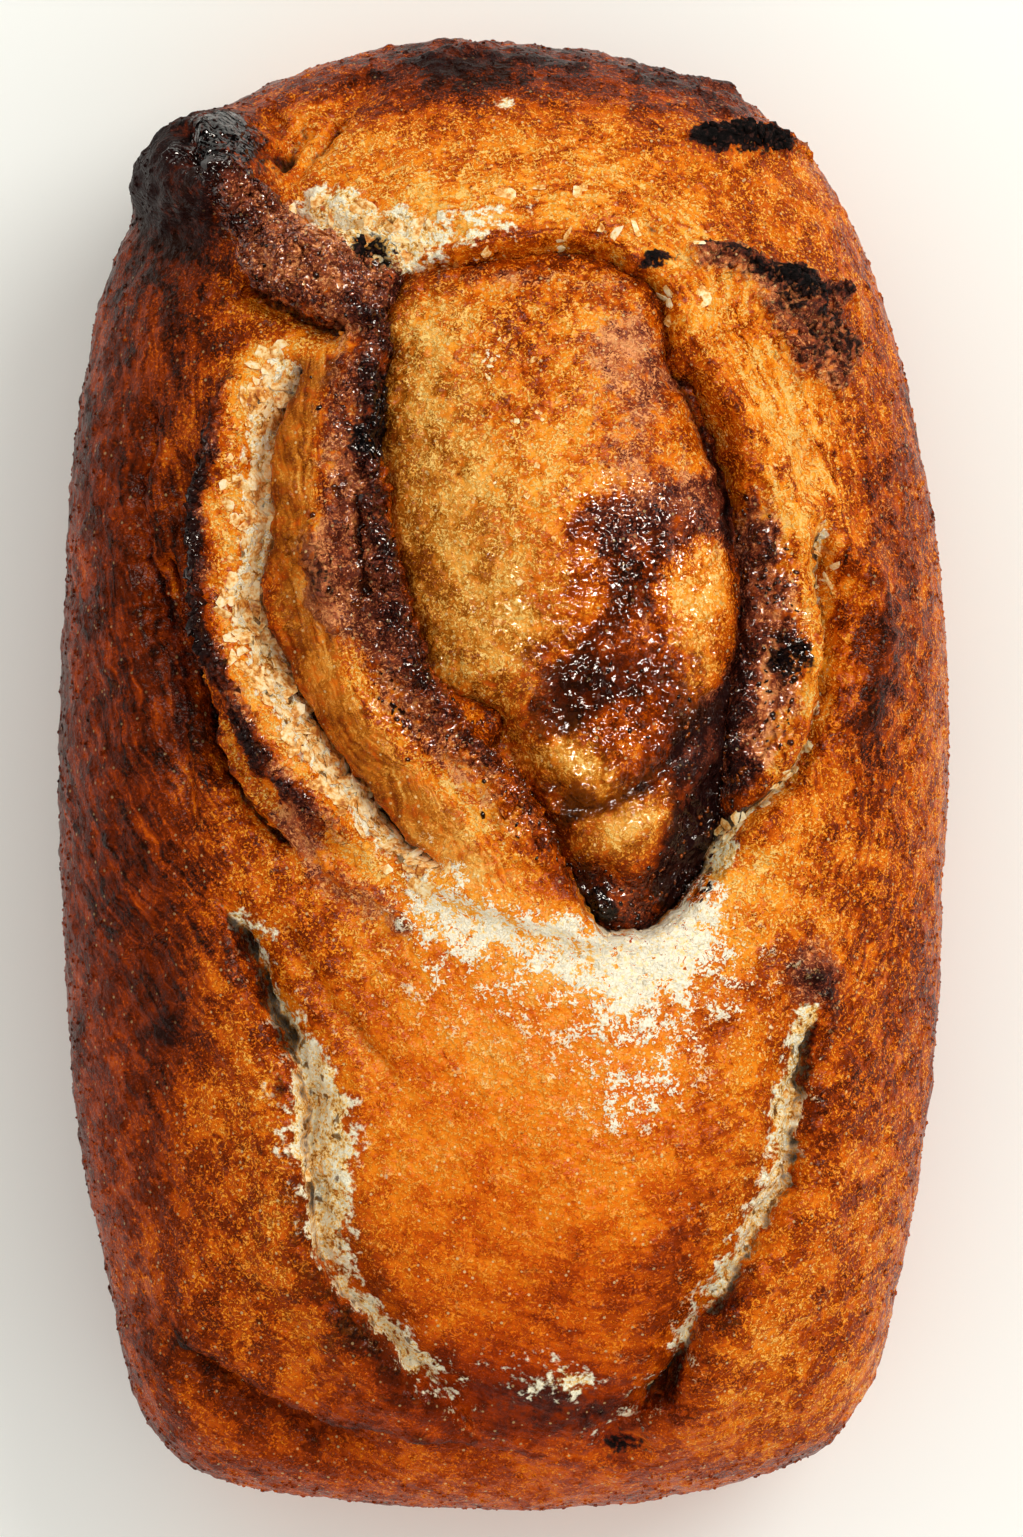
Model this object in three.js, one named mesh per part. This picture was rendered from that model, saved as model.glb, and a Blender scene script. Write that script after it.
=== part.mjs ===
// A long sourdough loaf whose crust tore open as it baked. A domed heart of bread stands in a torn collar,
// a smooth tongue of dough swells below it between two long tears, and a burnt horn stands at one corner.
// Millimetres, +Z up. The origin is on the surface the loaf rests on, under the middle of its box.
// +Y runs to the end with the horn, which stands at -X.
import * as THREE from 'three';

// ---- driving dimensions ----------------------------------------------------------------------------
const LENGTH = 240;
const WIDTH = 146;
const CROWN_HEIGHT = 80; // of the smooth body, before its folds and tears
const WIDEST_HEIGHT = 34; // where the side turns in again towards the foot
const FOOT_INSET = 8; // how far the foot stands in from the widest line
const FOOT_RADIUS = 6; // rounding between the side and the flat base
const CROWN_POWER = 2.6; // larger makes a flatter top
const SHOULDER_POWER = 2.2; // larger makes a rounder shoulder

const DOME_EDGE_DROP = 7; // the dome's edge lies this far below the crust
const DOME_RISE = 8.5; // from the dome's edge to its shoulder
const DOME_SHOULDER = 15; // distance over which it rises
const DOME_GAP = 2.8; // width of the wall from the crust down to the dome's edge

const CELLS_ACROSS = 52; // quads of the top, across and along
const CELLS_ALONG = 84;
const SIDE_HEIGHTS = [24, 14, FOOT_RADIUS, 2, 0]; // rows below the widest line, the last one on the base
const EVEN_SHARE = 0.55; // 1 spaces the top's quads evenly in plan, 0 evenly along the surface
const SQUARENESS = 0.75; // of the rounded square the grid is bent to: 1 makes it a disc, 0 leaves it square
const SNAP = 1.4; // a corner of a quad this close to an edge of the relief is moved onto it
const SNAP_HEIGHT = 2.5; // edges lower than this are too soft for that

// ---- plan outline and lines on the crust, as [x, y] ------------------------------------------------
const OUTLINE = [
  [-4, 120], [22, 116], [41, 108.5], [56, 92], [65, 66], [71, 38], [73, 8], [72, -24], [69, -55],
  [65, -80], [59, -101], [48, -113], [24, -118.5], [-4, -120], [-30, -118.8], [-50, -114.5],
  [-60, -104], [-64, -86], [-69, -62], [-72, -34], [-73, -2], [-72, 30], [-69.5, 60], [-64, 85],
  [-55, 100], [-44, 111], [-25, 118],
];

const DOME_OUTLINE = [
  [9, 81.5], [24, 75], [33.5, 61], [38, 42], [38.5, 24], [34, 6], [23, -14], [15, -20], [6, -5],
  [-3, 6.5], [-11, 18], [-16, 32], [-19, 48], [-19, 66], [-15.5, 77],
];

const RIM_LEFT = [
  [-19.5, 77], [-22, 64], [-22, 48], [-19, 31], [-14, 16.5], [-5, 4], [3, -7], [11, -20],
];
const RIM_RIGHT = [
  [26, 79], [32.5, 68], [38.5, 54.5], [42, 44], [43.5, 32], [45, 20], [43, 9], [37.5, -1], [33, -8],
  [30.5, -16],
];
const UPPER_EDGE = [
  [-17, 81], [-2, 83.5], [8, 85], [15, 85.5], [21, 82], [27, 76], [32.5, 67],
];
const HORN_RIDGE = [
  [-46, 97], [-40, 90], [-34, 84.5], [-27, 81.5], [-20, 79.5],
];
const LEFT_FLAP = [
  [-28, 68], [-30.5, 50], [-29, 27], [-21, 8], [-8, -8], [4, -18],
];
const LEFT_CRACK = [
  [-32, 70], [-37, 54], [-38.5, 36], [-37, 21], [-30, 10], [-22, -3], [-9, -17],
];
const LEFT_OUTER_RIDGE = [
  [-39, 68], [-45, 56], [-48, 39], [-46.5, 22], [-40, 8], [-32, -3], [-19, -15],
];
const LEFT_GROOVE = [
  [-48.5, 55], [-50.5, 42], [-50.5, 24], [-47, 9], [-40, -3],
];
const LEFT_FOLD = [
  [-57, 40], [-55, 22], [-52, 4], [-49.5, -16],
];
const FLAP_EDGE = [
  [-19, -14.5], [-6, -19.5], [6, -24.5], [16, -27], [26, -24], [33, -19], [36, -12],
];
const LOWER_LEFT_TEAR = [
  [-47, -19], [-42, -32], [-35.5, -45], [-33, -60], [-31, -76], [-23, -89], [-12, -101], [-2, -108],
];
const LOWER_RIGHT_TEAR = [
  [51, -36], [49, -52], [47.5, -66], [40, -78], [32, -90], [26, -101], [13, -109.5],
];
const BOTTOM_FOLD = [
  [-53, -93], [-44, -101], [-31, -107], [-15, -111.5],
];
const RIGHT_CRACK = [
  [50, 43], [52.5, 30], [52.5, 16], [48, 1], [39, -9], [35, -16],
];
const RIGHT_LIP = [
  [51, 43], [56.5, 31], [58.5, 19], [54, 2],
];
const UPPER_TEAR = [
  [-37, 95], [-28, 88.5], [-16, 84],
];
const UPPER_FOLD = [
  [-40, 92], [-34, 101], [-26, 110], [-17, 115],
];

// ---- relief ----------------------------------------------------------------------------------------
const TEAR_HALF_GAP = 1.6; // from the middle of a long tear to its trough on one side and its lip on the other

// A stroke raises (or with a negative height sinks) the crust along a line. left and right are its widths
// on either side of the line's own direction, offset moves its crest to the left, and start and end are
// the shares of the line over which it fades in and out.
const STROKES = [
  { line: RIM_LEFT, height: 5, left: 2.2, right: 6, offset: 0, start: 0.1, end: 0.15 },
  { line: RIM_RIGHT, height: 4.5, left: 5, right: 3.5, offset: 0, start: 0.15, end: 0.15 },
  { line: UPPER_EDGE, height: 3.5, left: 11, right: 2.2, offset: 0, start: 0.15, end: 0.2 },
  { line: HORN_RIDGE, height: 5.5, left: 4, right: 6, offset: 0, start: 0.3, end: 0.15 },
  { line: LEFT_FLAP, height: 3, left: 5, right: 4.5, offset: 0, start: 0.15, end: 0.15 },
  { line: LEFT_CRACK, height: -6, left: 2.6, right: 3.2, offset: 0, start: 0.15, end: 0.15 },
  { line: LEFT_OUTER_RIDGE, height: 4.5, left: 4.5, right: 3, offset: 0, start: 0.12, end: 0.12 },
  { line: LEFT_GROOVE, height: -3, left: 2.4, right: 4, offset: 0, start: 0.25, end: 0.25 },
  { line: LEFT_FOLD, height: -2.2, left: 2.6, right: 4, offset: 0, start: 0.3, end: 0.3 },
  { line: FLAP_EDGE, height: 3, left: 6, right: 2.2, offset: 0.5, start: 0.15, end: 0.15 },
  { line: LOWER_LEFT_TEAR, height: -5, left: 5, right: 2.2, offset: TEAR_HALF_GAP, start: 0.15, end: 0.2 },
  { line: LOWER_LEFT_TEAR, height: 2.6, left: 2.2, right: 8, offset: -TEAR_HALF_GAP, start: 0.15, end: 0.2 },
  { line: LOWER_RIGHT_TEAR, height: -5, left: 2.2, right: 5, offset: -TEAR_HALF_GAP, start: 0.12, end: 0.15 },
  { line: LOWER_RIGHT_TEAR, height: 2.6, left: 8, right: 2.2, offset: TEAR_HALF_GAP, start: 0.12, end: 0.2 },
  { line: BOTTOM_FOLD, height: -2.4, left: 3, right: 4, offset: 0, start: 0.3, end: 0.3 },
  { line: RIGHT_CRACK, height: -4.5, left: 2.4, right: 2.6, offset: 0, start: 0.25, end: 0.2 },
  { line: RIGHT_LIP, height: 3, left: 5, right: 2.4, offset: 0, start: 0.3, end: 0.3 },
  { line: UPPER_TEAR, height: -3.6, left: 2.2, right: 5, offset: -2.5, start: 0.25, end: 0.2 },
  { line: UPPER_FOLD, height: -2.2, left: 2.6, right: 3.5, offset: 0, start: 0.25, end: 0.3 },
];

// The horn stands up from the corner of the loaf, leaning outwards.
const HORN = { at: [-48, 98], height: 13, radii: [13.5, 9.5], turn: -15 };
const HORN_LEAN = [-0.25, 0.12];
const HORN_STEEPNESS = 2; // 1 is a rounded hill, more is a knob with a flat top

// A mound is a round or oval swelling, or with a negative height a hollow: its two radii and its turn in degrees.
const MOUNDS = [
  { at: [12, 38], height: 5, radii: [20, 36], turn: -8 }, // the dome's crown
  { at: [-38, 86], height: 2.5, radii: [9, 5], turn: -45 }, // the burnt flap beside the horn
  { at: [12, -66], height: 6, radii: [30, 36], turn: 0 }, // the tongue
  { at: [22, -19], height: -5, radii: [8, 5], turn: 20 }, // the pit where the tears meet
  { at: [38, 102], height: 3, radii: [7.5, 2.5], turn: 0 }, // a charred blister
  { at: [45, 74], height: 1.6, radii: [13, 7], turn: -40 }, // a burnt patch
  { at: [18, 103], height: 2, radii: [26, 9], turn: -5 }, // the far end's crust
  { at: [-36, 25], height: 1.6, radii: [3, 5], turn: 10 }, // a lump on the flap
];

// ---- helpers ---------------------------------------------------------------------------------------
const STEPS_PER_POINT = 8;
const smooth = (from, to, x) => THREE.MathUtils.smoothstep(x, from, to);

function interpolate(x, xs, ys) {
  let low = 0;
  let high = xs.length - 1;
  while (high - low > 1) {
    const middle = (low + high) >> 1;
    if (xs[middle] <= x) low = middle;
    else high = middle;
  }
  const share = (x - xs[low]) / (xs[high] - xs[low]);
  return ys[low] + share * (ys[high] - ys[low]);
}

function curveThrough(points, closed = false) {
  const corners = points.map(([x, y]) => new THREE.Vector3(x, y, 0));
  const curve = new THREE.CatmullRomCurve3(corners, closed, 'catmullrom', 0.5);
  return curve.getPoints(STEPS_PER_POINT * points.length);
}

// Signed distance from a curve, positive on the left of its direction, the share of it passed, and the
// way from its nearest point to here.
function locate(curve, x, y) {
  let best = { squared: Infinity, side: 1, share: 0, ox: 0, oy: 0 };
  for (let i = 0; i + 1 < curve.length; i++) {
    const { x: ax, y: ay } = curve[i];
    const dx = curve[i + 1].x - ax;
    const dy = curve[i + 1].y - ay;
    const along = ((x - ax) * dx + (y - ay) * dy) / (dx * dx + dy * dy);
    const held = THREE.MathUtils.clamp(along, 0, 1);
    const ox = x - ax - held * dx;
    const oy = y - ay - held * dy;
    const squared = ox * ox + oy * oy;
    if (squared >= best.squared) continue;
    const side = dx * oy - dy * ox >= 0 ? 1 : -1;
    best = { squared, side, share: (i + held) / (curve.length - 1), ox, oy };
  }
  const distance = best.side * Math.sqrt(best.squared);
  const gradient = [best.ox / distance || 0, best.oy / distance || 0];
  return { distance, share: best.share, gradient };
}

// ---- the smooth body -------------------------------------------------------------------------------
// A closed line round the origin, as a function that gives its radius at an angle.
function radiusByAngle(line) {
  const polar = line.map(([x, y]) => [Math.atan2(y, x), Math.hypot(x, y)]).sort((a, b) => a[0] - b[0]);
  const [first, last] = [polar[0], polar.at(-1)];
  const around = [[last[0] - 2 * Math.PI, last[1]], ...polar, [first[0] + 2 * Math.PI, first[1]]];
  const angles = around.map(([angle]) => angle);
  const radii = around.map(([, radius]) => radius);
  return (angle) => interpolate(angle, angles, radii);
}

// The outline, in a frame where the loaf's half width and half length are 1.
const outlineRadius = radiusByAngle(
  curveThrough(OUTLINE, true).map(({ x, y }) => [x / (WIDTH / 2), y / (LENGTH / 2)]),
);

// A square of -1 to 1, bent to a rounded square, and that square's own outline.
const bend = (u, v) => [
  u * Math.sqrt(1 - (SQUARENESS * v * v) / 2),
  v * Math.sqrt(1 - (SQUARENESS * u * u) / 2),
];
const BORDER_STEPS = 90;
const border = [];
for (let i = 0; i < BORDER_STEPS; i++) {
  const along = (2 * i) / BORDER_STEPS - 1;
  border.push(bend(1, along), bend(-1, -along), bend(-along, 1), bend(along, -1));
}
const squareRadius = radiusByAngle(border);

const crownAt = (rho) =>
  WIDEST_HEIGHT + (CROWN_HEIGHT - WIDEST_HEIGHT) * (1 - rho ** CROWN_POWER) ** (1 / SHOULDER_POWER);

// How far out, as a share of the outline, each share of the top's quads reaches.
const PROFILE_STEPS = 400;
const profileRho = [];
const profileLength = [0];
for (let i = 0; i <= PROFILE_STEPS; i++) profileRho.push(Math.sin(((i / PROFILE_STEPS) * Math.PI) / 2));
const meanHalfSpan = (WIDTH + LENGTH) / 4;
for (let i = 1; i <= PROFILE_STEPS; i++) {
  const run = (profileRho[i] - profileRho[i - 1]) * meanHalfSpan;
  const fall = crownAt(profileRho[i]) - crownAt(profileRho[i - 1]);
  profileLength.push(profileLength[i - 1] + Math.hypot(run, fall));
}
const profileShare = profileRho.map(
  (rho, i) => EVEN_SHARE * rho + ((1 - EVEN_SHARE) * profileLength[i]) / profileLength[PROFILE_STEPS],
);

// The body's top over a point of the plan.
function bodyPoint(x, y) {
  const across = x / (WIDTH / 2);
  const along = y / (LENGTH / 2);
  const rho = Math.hypot(across, along) / outlineRadius(Math.atan2(along, across));
  return new THREE.Vector3(x, y, crownAt(Math.min(rho, 1)));
}

// A point of the top, from a square of -1 to 1 drawn out to the loaf's outline.
function topPoint(u, v) {
  const [a, b] = bend(u, v);
  const angle = Math.atan2(b, a);
  const share = Math.min(Math.hypot(a, b) / squareRadius(angle), 1);
  const reach = interpolate(share, profileShare, profileRho) * outlineRadius(angle);
  return bodyPoint((reach * Math.cos(angle) * WIDTH) / 2, (reach * Math.sin(angle) * LENGTH) / 2);
}

// ---- relief on the body ----------------------------------------------------------------------------
const domeCurve = curveThrough(DOME_OUTLINE, true);
const strokes = STROKES.map((stroke) => ({ ...stroke, curve: curveThrough(stroke.line) }));

function domeHeight(x, y) {
  const inside = -locate(domeCurve, x, y).distance; // the outline runs clockwise
  if (inside < -DOME_GAP) return 0;
  if (inside < 0) return -DOME_EDGE_DROP * smooth(-DOME_GAP, 0, inside);
  const left = 1 - Math.min(inside / DOME_SHOULDER, 1);
  return DOME_RISE * Math.sqrt(1 - left * left) - DOME_EDGE_DROP;
}

function strokeHeight({ curve, height, left, right, offset, start, end }, x, y) {
  const { distance, share } = locate(curve, x, y);
  const across = distance - offset;
  const width = across > 0 ? left : right;
  const fade = smooth(0, start, share) * smooth(0, end, 1 - share);
  return height * fade * Math.exp(-((across / width) ** 2));
}

function moundHeight({ at, height, radii, turn }, x, y, steepness = 1) {
  const angle = THREE.MathUtils.degToRad(turn);
  const dx = x - at[0];
  const dy = y - at[1];
  const along = (dx * Math.cos(angle) + dy * Math.sin(angle)) / radii[0];
  const across = (dy * Math.cos(angle) - dx * Math.sin(angle)) / radii[1];
  return height * Math.exp(-((along * along + across * across) ** steepness));
}

function relief(x, y) {
  let height = domeHeight(x, y);
  for (const stroke of strokes) height += strokeHeight(stroke, x, y);
  for (const mound of MOUNDS) height += moundHeight(mound, x, y);
  return height;
}

// The way a point of the body is moved: along its outward direction, and up into the horn.
function shift(point, outward) {
  const horn = moundHeight(HORN, point.x, point.y, HORN_STEEPNESS);
  const hornShift = new THREE.Vector3(HORN_LEAN[0], HORN_LEAN[1], 1).multiplyScalar(horn);
  return hornShift.addScaledVector(outward, relief(point.x, point.y));
}

// A point of the plan near a crest, a crack or the dome's edge is moved onto it, so that the mesh follows it.
function snapped(point) {
  const edges = [{ ...locate(domeCurve, point.x, point.y), offset: 0 }];
  for (const { curve, height, offset, start, end } of strokes) {
    if (Math.abs(height) < SNAP_HEIGHT) continue;
    const edge = locate(curve, point.x, point.y);
    if (edge.share > start / 2 && edge.share < 1 - end / 2) edges.push({ ...edge, offset });
  }
  const misses = edges.map(({ distance, offset }) => Math.abs(distance - offset));
  const nearest = misses.indexOf(Math.min(...misses));
  if (misses[nearest] > SNAP) return point;
  const { distance, offset, gradient } = edges[nearest];
  const back = offset - distance;
  return bodyPoint(point.x + back * gradient[0], point.y + back * gradient[1]);
}

// ---- the loaf's mesh -------------------------------------------------------------------------------
const points = [];
const triangles = [];

// The top is a grid of quads, numbered row by row.
const topIndex = (i, j) => j * (CELLS_ACROSS + 1) + i;
for (let j = 0; j <= CELLS_ALONG; j++) {
  for (let i = 0; i <= CELLS_ACROSS; i++) {
    const onEdge = i === 0 || j === 0 || i === CELLS_ACROSS || j === CELLS_ALONG;
    const point = topPoint((2 * i) / CELLS_ACROSS - 1, (2 * j) / CELLS_ALONG - 1);
    points.push(onEdge ? point : snapped(point));
  }
}

// The grid's edge, once round counter-clockwise, is the widest line of the side.
const ring = [];
for (let i = 0; i < CELLS_ACROSS; i++) ring.push(topIndex(i, 0));
for (let j = 0; j < CELLS_ALONG; j++) ring.push(topIndex(CELLS_ACROSS, j));
for (let i = CELLS_ACROSS; i > 0; i--) ring.push(topIndex(i, CELLS_ALONG));
for (let j = CELLS_ALONG; j > 0; j--) ring.push(topIndex(0, j));

const footInset = (z) => {
  const lean = FOOT_INSET * (1 - z / WIDEST_HEIGHT) ** 2;
  const rise = Math.max(1 - z / FOOT_RADIUS, 0);
  return lean + FOOT_RADIUS * (1 - Math.sqrt(1 - rise * rise));
};

// Outward directions of the body, from the top's own quads and, at its edge, the outline.
const normals = points.map((point, index) => {
  const i = index % (CELLS_ACROSS + 1);
  const j = (index - i) / (CELLS_ACROSS + 1);
  const west = points[topIndex(Math.max(i - 1, 0), j)];
  const east = points[topIndex(Math.min(i + 1, CELLS_ACROSS), j)];
  const south = points[topIndex(i, Math.max(j - 1, 0))];
  const north = points[topIndex(i, Math.min(j + 1, CELLS_ALONG))];
  return east.clone().sub(west).cross(north.clone().sub(south)).normalize();
});
ring.forEach((index, n) => {
  const before = points[ring.at(n - 1)];
  const after = points[ring[(n + 1) % ring.length]];
  normals[index].set(after.y - before.y, before.x - after.x, 0).normalize();
});

const shifts = points.map((point, index) => shift(point, normals[index]));
const rows = [ring];
for (const z of SIDE_HEIGHTS) {
  const row = [];
  for (const index of ring) {
    const point = points[index].clone().addScaledVector(shifts[index], z / WIDEST_HEIGHT);
    point.addScaledVector(normals[index], -footInset(z)).setZ(z);
    row.push(points.push(point) - 1);
  }
  rows.push(row);
}
shifts.forEach((way, n) => points[n].add(way));
const baseCentre = points.push(new THREE.Vector3(0, 0, 0)) - 1;

// Each quad is split along the diagonal that lies closer to the true surface at its middle.
for (let j = 0; j < CELLS_ALONG; j++) {
  for (let i = 0; i < CELLS_ACROSS; i++) {
    const [a, b, c, d] = [topIndex(i, j), topIndex(i + 1, j), topIndex(i + 1, j + 1), topIndex(i, j + 1)];
    const middle = topPoint((2 * i + 1) / CELLS_ACROSS - 1, (2 * j + 1) / CELLS_ALONG - 1);
    middle.add(shift(middle, normals[a]));
    const missAC = Math.abs((points[a].z + points[c].z) / 2 - middle.z);
    const missBD = Math.abs((points[b].z + points[d].z) / 2 - middle.z);
    if (missAC < missBD) triangles.push(a, b, c, a, c, d);
    else triangles.push(a, b, d, b, c, d);
  }
}
for (let r = 0; r + 1 < rows.length; r++) {
  for (let n = 0; n < ring.length; n++) {
    const next = (n + 1) % ring.length;
    const [a, b] = [rows[r][n], rows[r][next]];
    const [c, d] = [rows[r + 1][next], rows[r + 1][n]];
    triangles.push(a, c, b, a, d, c);
  }
}
const foot = rows.at(-1);
foot.forEach((index, n) => triangles.push(foot[(n + 1) % foot.length], index, baseCentre));

// The origin goes under the middle of the finished loaf's box.
const geometry = new THREE.BufferGeometry().setFromPoints(points);
geometry.setIndex(triangles);
geometry.computeBoundingBox();
const middle = geometry.boundingBox.getCenter(new THREE.Vector3());
geometry.translate(-middle.x, -middle.y, 0);
geometry.computeVertexNormals();

const crust = new THREE.MeshStandardMaterial({ color: 0xa8622a, roughness: 0.55, metalness: 0 });
const loafMesh = new THREE.Mesh(geometry, crust);
loafMesh.name = 'loaf';

const loaf = new THREE.Group();
loaf.add(loafMesh);
export default loaf;
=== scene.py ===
import math

import bpy
import numpy as np
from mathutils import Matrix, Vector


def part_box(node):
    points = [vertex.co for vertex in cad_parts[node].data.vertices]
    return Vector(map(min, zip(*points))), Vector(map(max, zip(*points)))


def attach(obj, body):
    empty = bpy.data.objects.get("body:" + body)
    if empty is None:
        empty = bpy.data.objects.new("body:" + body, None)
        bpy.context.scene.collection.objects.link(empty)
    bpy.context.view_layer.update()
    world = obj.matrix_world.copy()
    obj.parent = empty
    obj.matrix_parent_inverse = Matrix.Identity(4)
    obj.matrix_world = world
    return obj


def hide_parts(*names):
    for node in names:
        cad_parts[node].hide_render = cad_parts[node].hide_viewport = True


# A long sourdough loaf that tore open as it baked, seen from straight above. A domed heart of bread
# stands in a torn collar, a smooth tongue of dough swells below it between two long tears, and a burnt horn
# stands at one corner. The crust and the heart are two closed meshes, and on them lie shreds of crumb,
# flakes, beads of syrup, blisters and scabs. Lengths are millimetres and places on the plan are [x, y], as
# in the frame. Only the meshes are in metres.

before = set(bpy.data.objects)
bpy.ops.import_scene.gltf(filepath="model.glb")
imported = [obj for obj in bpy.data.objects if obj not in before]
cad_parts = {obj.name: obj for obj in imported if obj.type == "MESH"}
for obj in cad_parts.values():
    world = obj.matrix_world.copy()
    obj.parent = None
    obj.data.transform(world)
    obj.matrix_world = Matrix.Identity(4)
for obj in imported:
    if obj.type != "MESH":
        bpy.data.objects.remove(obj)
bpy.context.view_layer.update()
MM = 0.001
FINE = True

# ---- driving sizes ---------------------------------------------------------------------------------
LOAF_LOW, LOAF_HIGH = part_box("loaf")
HALF_WIDTH = (LOAF_HIGH.x - LOAF_LOW.x) / 2 / MM
HALF_LENGTH = (LOAF_HIGH.y - LOAF_LOW.y) / 2 / MM
RIM_RISE = 6.5  # the highest fold stands this far above the smooth body
CROWN_HEIGHT = LOAF_HIGH.z / MM - RIM_RISE
WIDEST_HEIGHT = 34
FOOT_INSET = 8  # the sides lean in by this much down to the foot
FOOT_RADIUS = 6
CROWN_POWER = 2.6  # how flat the crown is
SHOULDER_POWER = 2.2  # how full its shoulders are
SQUARENESS = 0.75  # how square the top's grid stays, from 0 for round to 1
EVEN_SHARE = 0.55  # of the grid's steps, even on the plan. The others are even on the surface.

HEART_DROP = 1.8  # the heart's edge lies this far below the crust round it
HEART_DROP_RIGHT = 3.2  # and this much further on its right
HEART_DROP_FOOT = 4.0  # and at its foot
HEART_CREST = 1.5  # its middle stands this far above the body
HEART_SHOULDER = 15  # over this distance from its edge it rises to its crest
HEART_WALL_SLOPE = 1.5  # how steeply it goes on down outside its edge
HEART_WALL_REACH = 3.5
HEART_GAP = 2.8  # width of the wall from the crust down to the heart
WELL_DEPTH = 13  # the floor under the heart, where nothing shows

QUADS_ACROSS, QUADS_ALONG = (340, 560) if FINE else (170, 280)
HEART_SPACING = 0.42 if FINE else 0.8
CRUST_TRIANGLES = 196000 if FINE else 90000
SEED = 11


# ---- helpers ---------------------------------------------------------------------------------------
def smooth(low, high, value):
    share = np.clip((value - low) / (high - low), 0, 1)
    return share * share * (3 - 2 * share)


LATTICE_SIDE = 64
LATTICE = np.random.default_rng(SEED).uniform(-1, 1, (LATTICE_SIDE,) * 3)
SEED_STEP = 17.37


def noise(places, size, seed=0):
    """Smooth random values of -1 to 1 that change over about size millimetres."""
    at = places / size + seed * SEED_STEP
    corner = np.floor(at).astype(int)
    part = at - corner
    part = part * part * (3 - 2 * part)
    total = np.zeros(len(places))
    for step in np.ndindex(2, 2, 2):
        weight = np.prod(np.where(step, part, 1 - part), axis=1)
        i, j, k = ((corner + step) % LATTICE_SIDE).T
        total += weight * LATTICE[i, j, k]
    return total


def fractal(places, size, octaves=4, seed=0):
    return sum(noise(places, size / 2**n, seed + n) / 2**n for n in range(octaves))


def cells(places, size, seed=0):
    """The distance to the nearest scattered centre, as a share of size, and that centre's own number."""
    at = places / size + seed * SEED_STEP
    corner = np.floor(at).astype(int)
    nearest = np.full(len(places), 9.0)
    number = np.zeros(len(places))
    for step in np.ndindex(3, 3, 3):
        cell = corner + np.array(step) - 1
        i, j, k = (cell % LATTICE_SIDE).T
        jitter = np.stack([LATTICE[i, j, k], LATTICE[j, k, i], LATTICE[k, i, j]], axis=1)
        away = np.linalg.norm(cell + 0.5 + 0.45 * jitter - at, axis=1)
        closer = away < nearest
        nearest[closer] = away[closer]
        number[closer] = LATTICE[j, i, k][closer]
    return nearest, number


STEPS_PER_POINT = 8
FAR = 999.0


def curve_through(corners, closed):
    """A smooth line through its corners."""
    p = np.array(corners, float)
    if closed:
        p = np.vstack([p[-1], p, p[0], p[1]])
    else:
        p = np.vstack([2 * p[0] - p[1], p, 2 * p[-1] - p[-2]])
    share = np.linspace(0, 1, STEPS_PER_POINT, endpoint=False)[:, None]
    pieces = []
    for a, b, c, d in zip(p[:-3], p[1:-2], p[2:-1], p[3:]):
        bend = (2 * a - 5 * b + 4 * c - d) * share**2 + (3 * b - a - 3 * c + d) * share**3
        pieces.append(b + ((c - a) * share + bend) / 2)
    return np.vstack([*pieces, p[-2]])


class Line:
    """A smooth line on the plan."""

    def __init__(self, *corners, closed=False, reach=32.0):
        self.points = curve_through(corners, closed)
        self.reach = reach

    def find(self, x, y):
        """The distance from the line, + on its left, the share of it passed, and the way leftwards."""
        start = self.points[:-1]
        way = np.diff(self.points, axis=0)
        squared_length = (way**2).sum(axis=1)
        low = self.points.min(axis=0) - self.reach
        high = self.points.max(axis=0) + self.reach
        distance = np.full(len(x), FAR)
        share = np.zeros(len(x))
        leftwards = np.zeros((len(x), 2))
        near = np.flatnonzero((x > low[0]) & (x < high[0]) & (y > low[1]) & (y < high[1]))
        for some in np.array_split(near, len(near) // 20000 + 1):
            rows = np.arange(len(some))
            from_x = x[some, None] - start[:, 0]
            from_y = y[some, None] - start[:, 1]
            held = np.clip((from_x * way[:, 0] + from_y * way[:, 1]) / squared_length, 0, 1)
            out_x = from_x - held * way[:, 0]
            out_y = from_y - held * way[:, 1]
            best = (out_x**2 + out_y**2).argmin(axis=1)
            ox, oy = out_x[rows, best], out_y[rows, best]
            side = np.where(way[best, 0] * oy - way[best, 1] * ox >= 0, 1, -1)
            signed = side * np.hypot(ox, oy) + 1e-9
            distance[some] = signed
            share[some] = (best + held[rows, best]) / len(way)
            leftwards[some] = np.stack([ox, oy], axis=1) / signed[:, None]
        return distance, share, leftwards


# ---- lines on the crust ----------------------------------------------------------------------------
OUTLINE = Line(
    [-4, 120], [22, 116], [41, 108.5], [56, 92], [65, 66], [71, 38], [73, 8], [72, -24], [69, -55],
    [65, -80], [59, -101], [48, -113], [24, -118.5], [-4, -120], [-30, -118.8], [-50, -114.5],
    [-60, -104], [-64, -86], [-69, -62], [-72, -34], [-73, -2], [-72, 30], [-69.5, 60], [-64, 85],
    [-55, 100], [-44, 111], [-25, 118], closed=True,
)
HEART_EDGE = Line(
    [8, 83.5], [15, 83], [20, 80.5], [25.5, 76], [25.8, 70], [26.8, 64.5], [31, 62], [34.5, 55],
    [37, 46], [39.5, 36], [39.5, 24], [36.5, 8], [37, -5], [35.5, -13], [31, -20], [24.5, -24],
    [17, -24.5], [12.5, -20], [7.5, -9], [3, -1.5], [-1.7, 3], [0.8, 8.5], [-3.5, 11.8], [-8.5, 13.5],
    [-12, 18], [-16, 32], [-19, 48], [-19.2, 66], [-15, 80], closed=True, reach=200.0,
)
RIM_LEFT = Line([-19.5, 77], [-22, 64], [-22, 48], [-19, 31], [-14, 16.5], [-5, 4], [3, -7], [11, -20])
RIM_RIGHT = Line(
    [26, 79], [32.5, 68], [38.5, 54.5], [43, 44], [46, 32], [48, 20], [46.5, 8], [42, -3], [39, -10],
    [37, -15],
)
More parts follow.
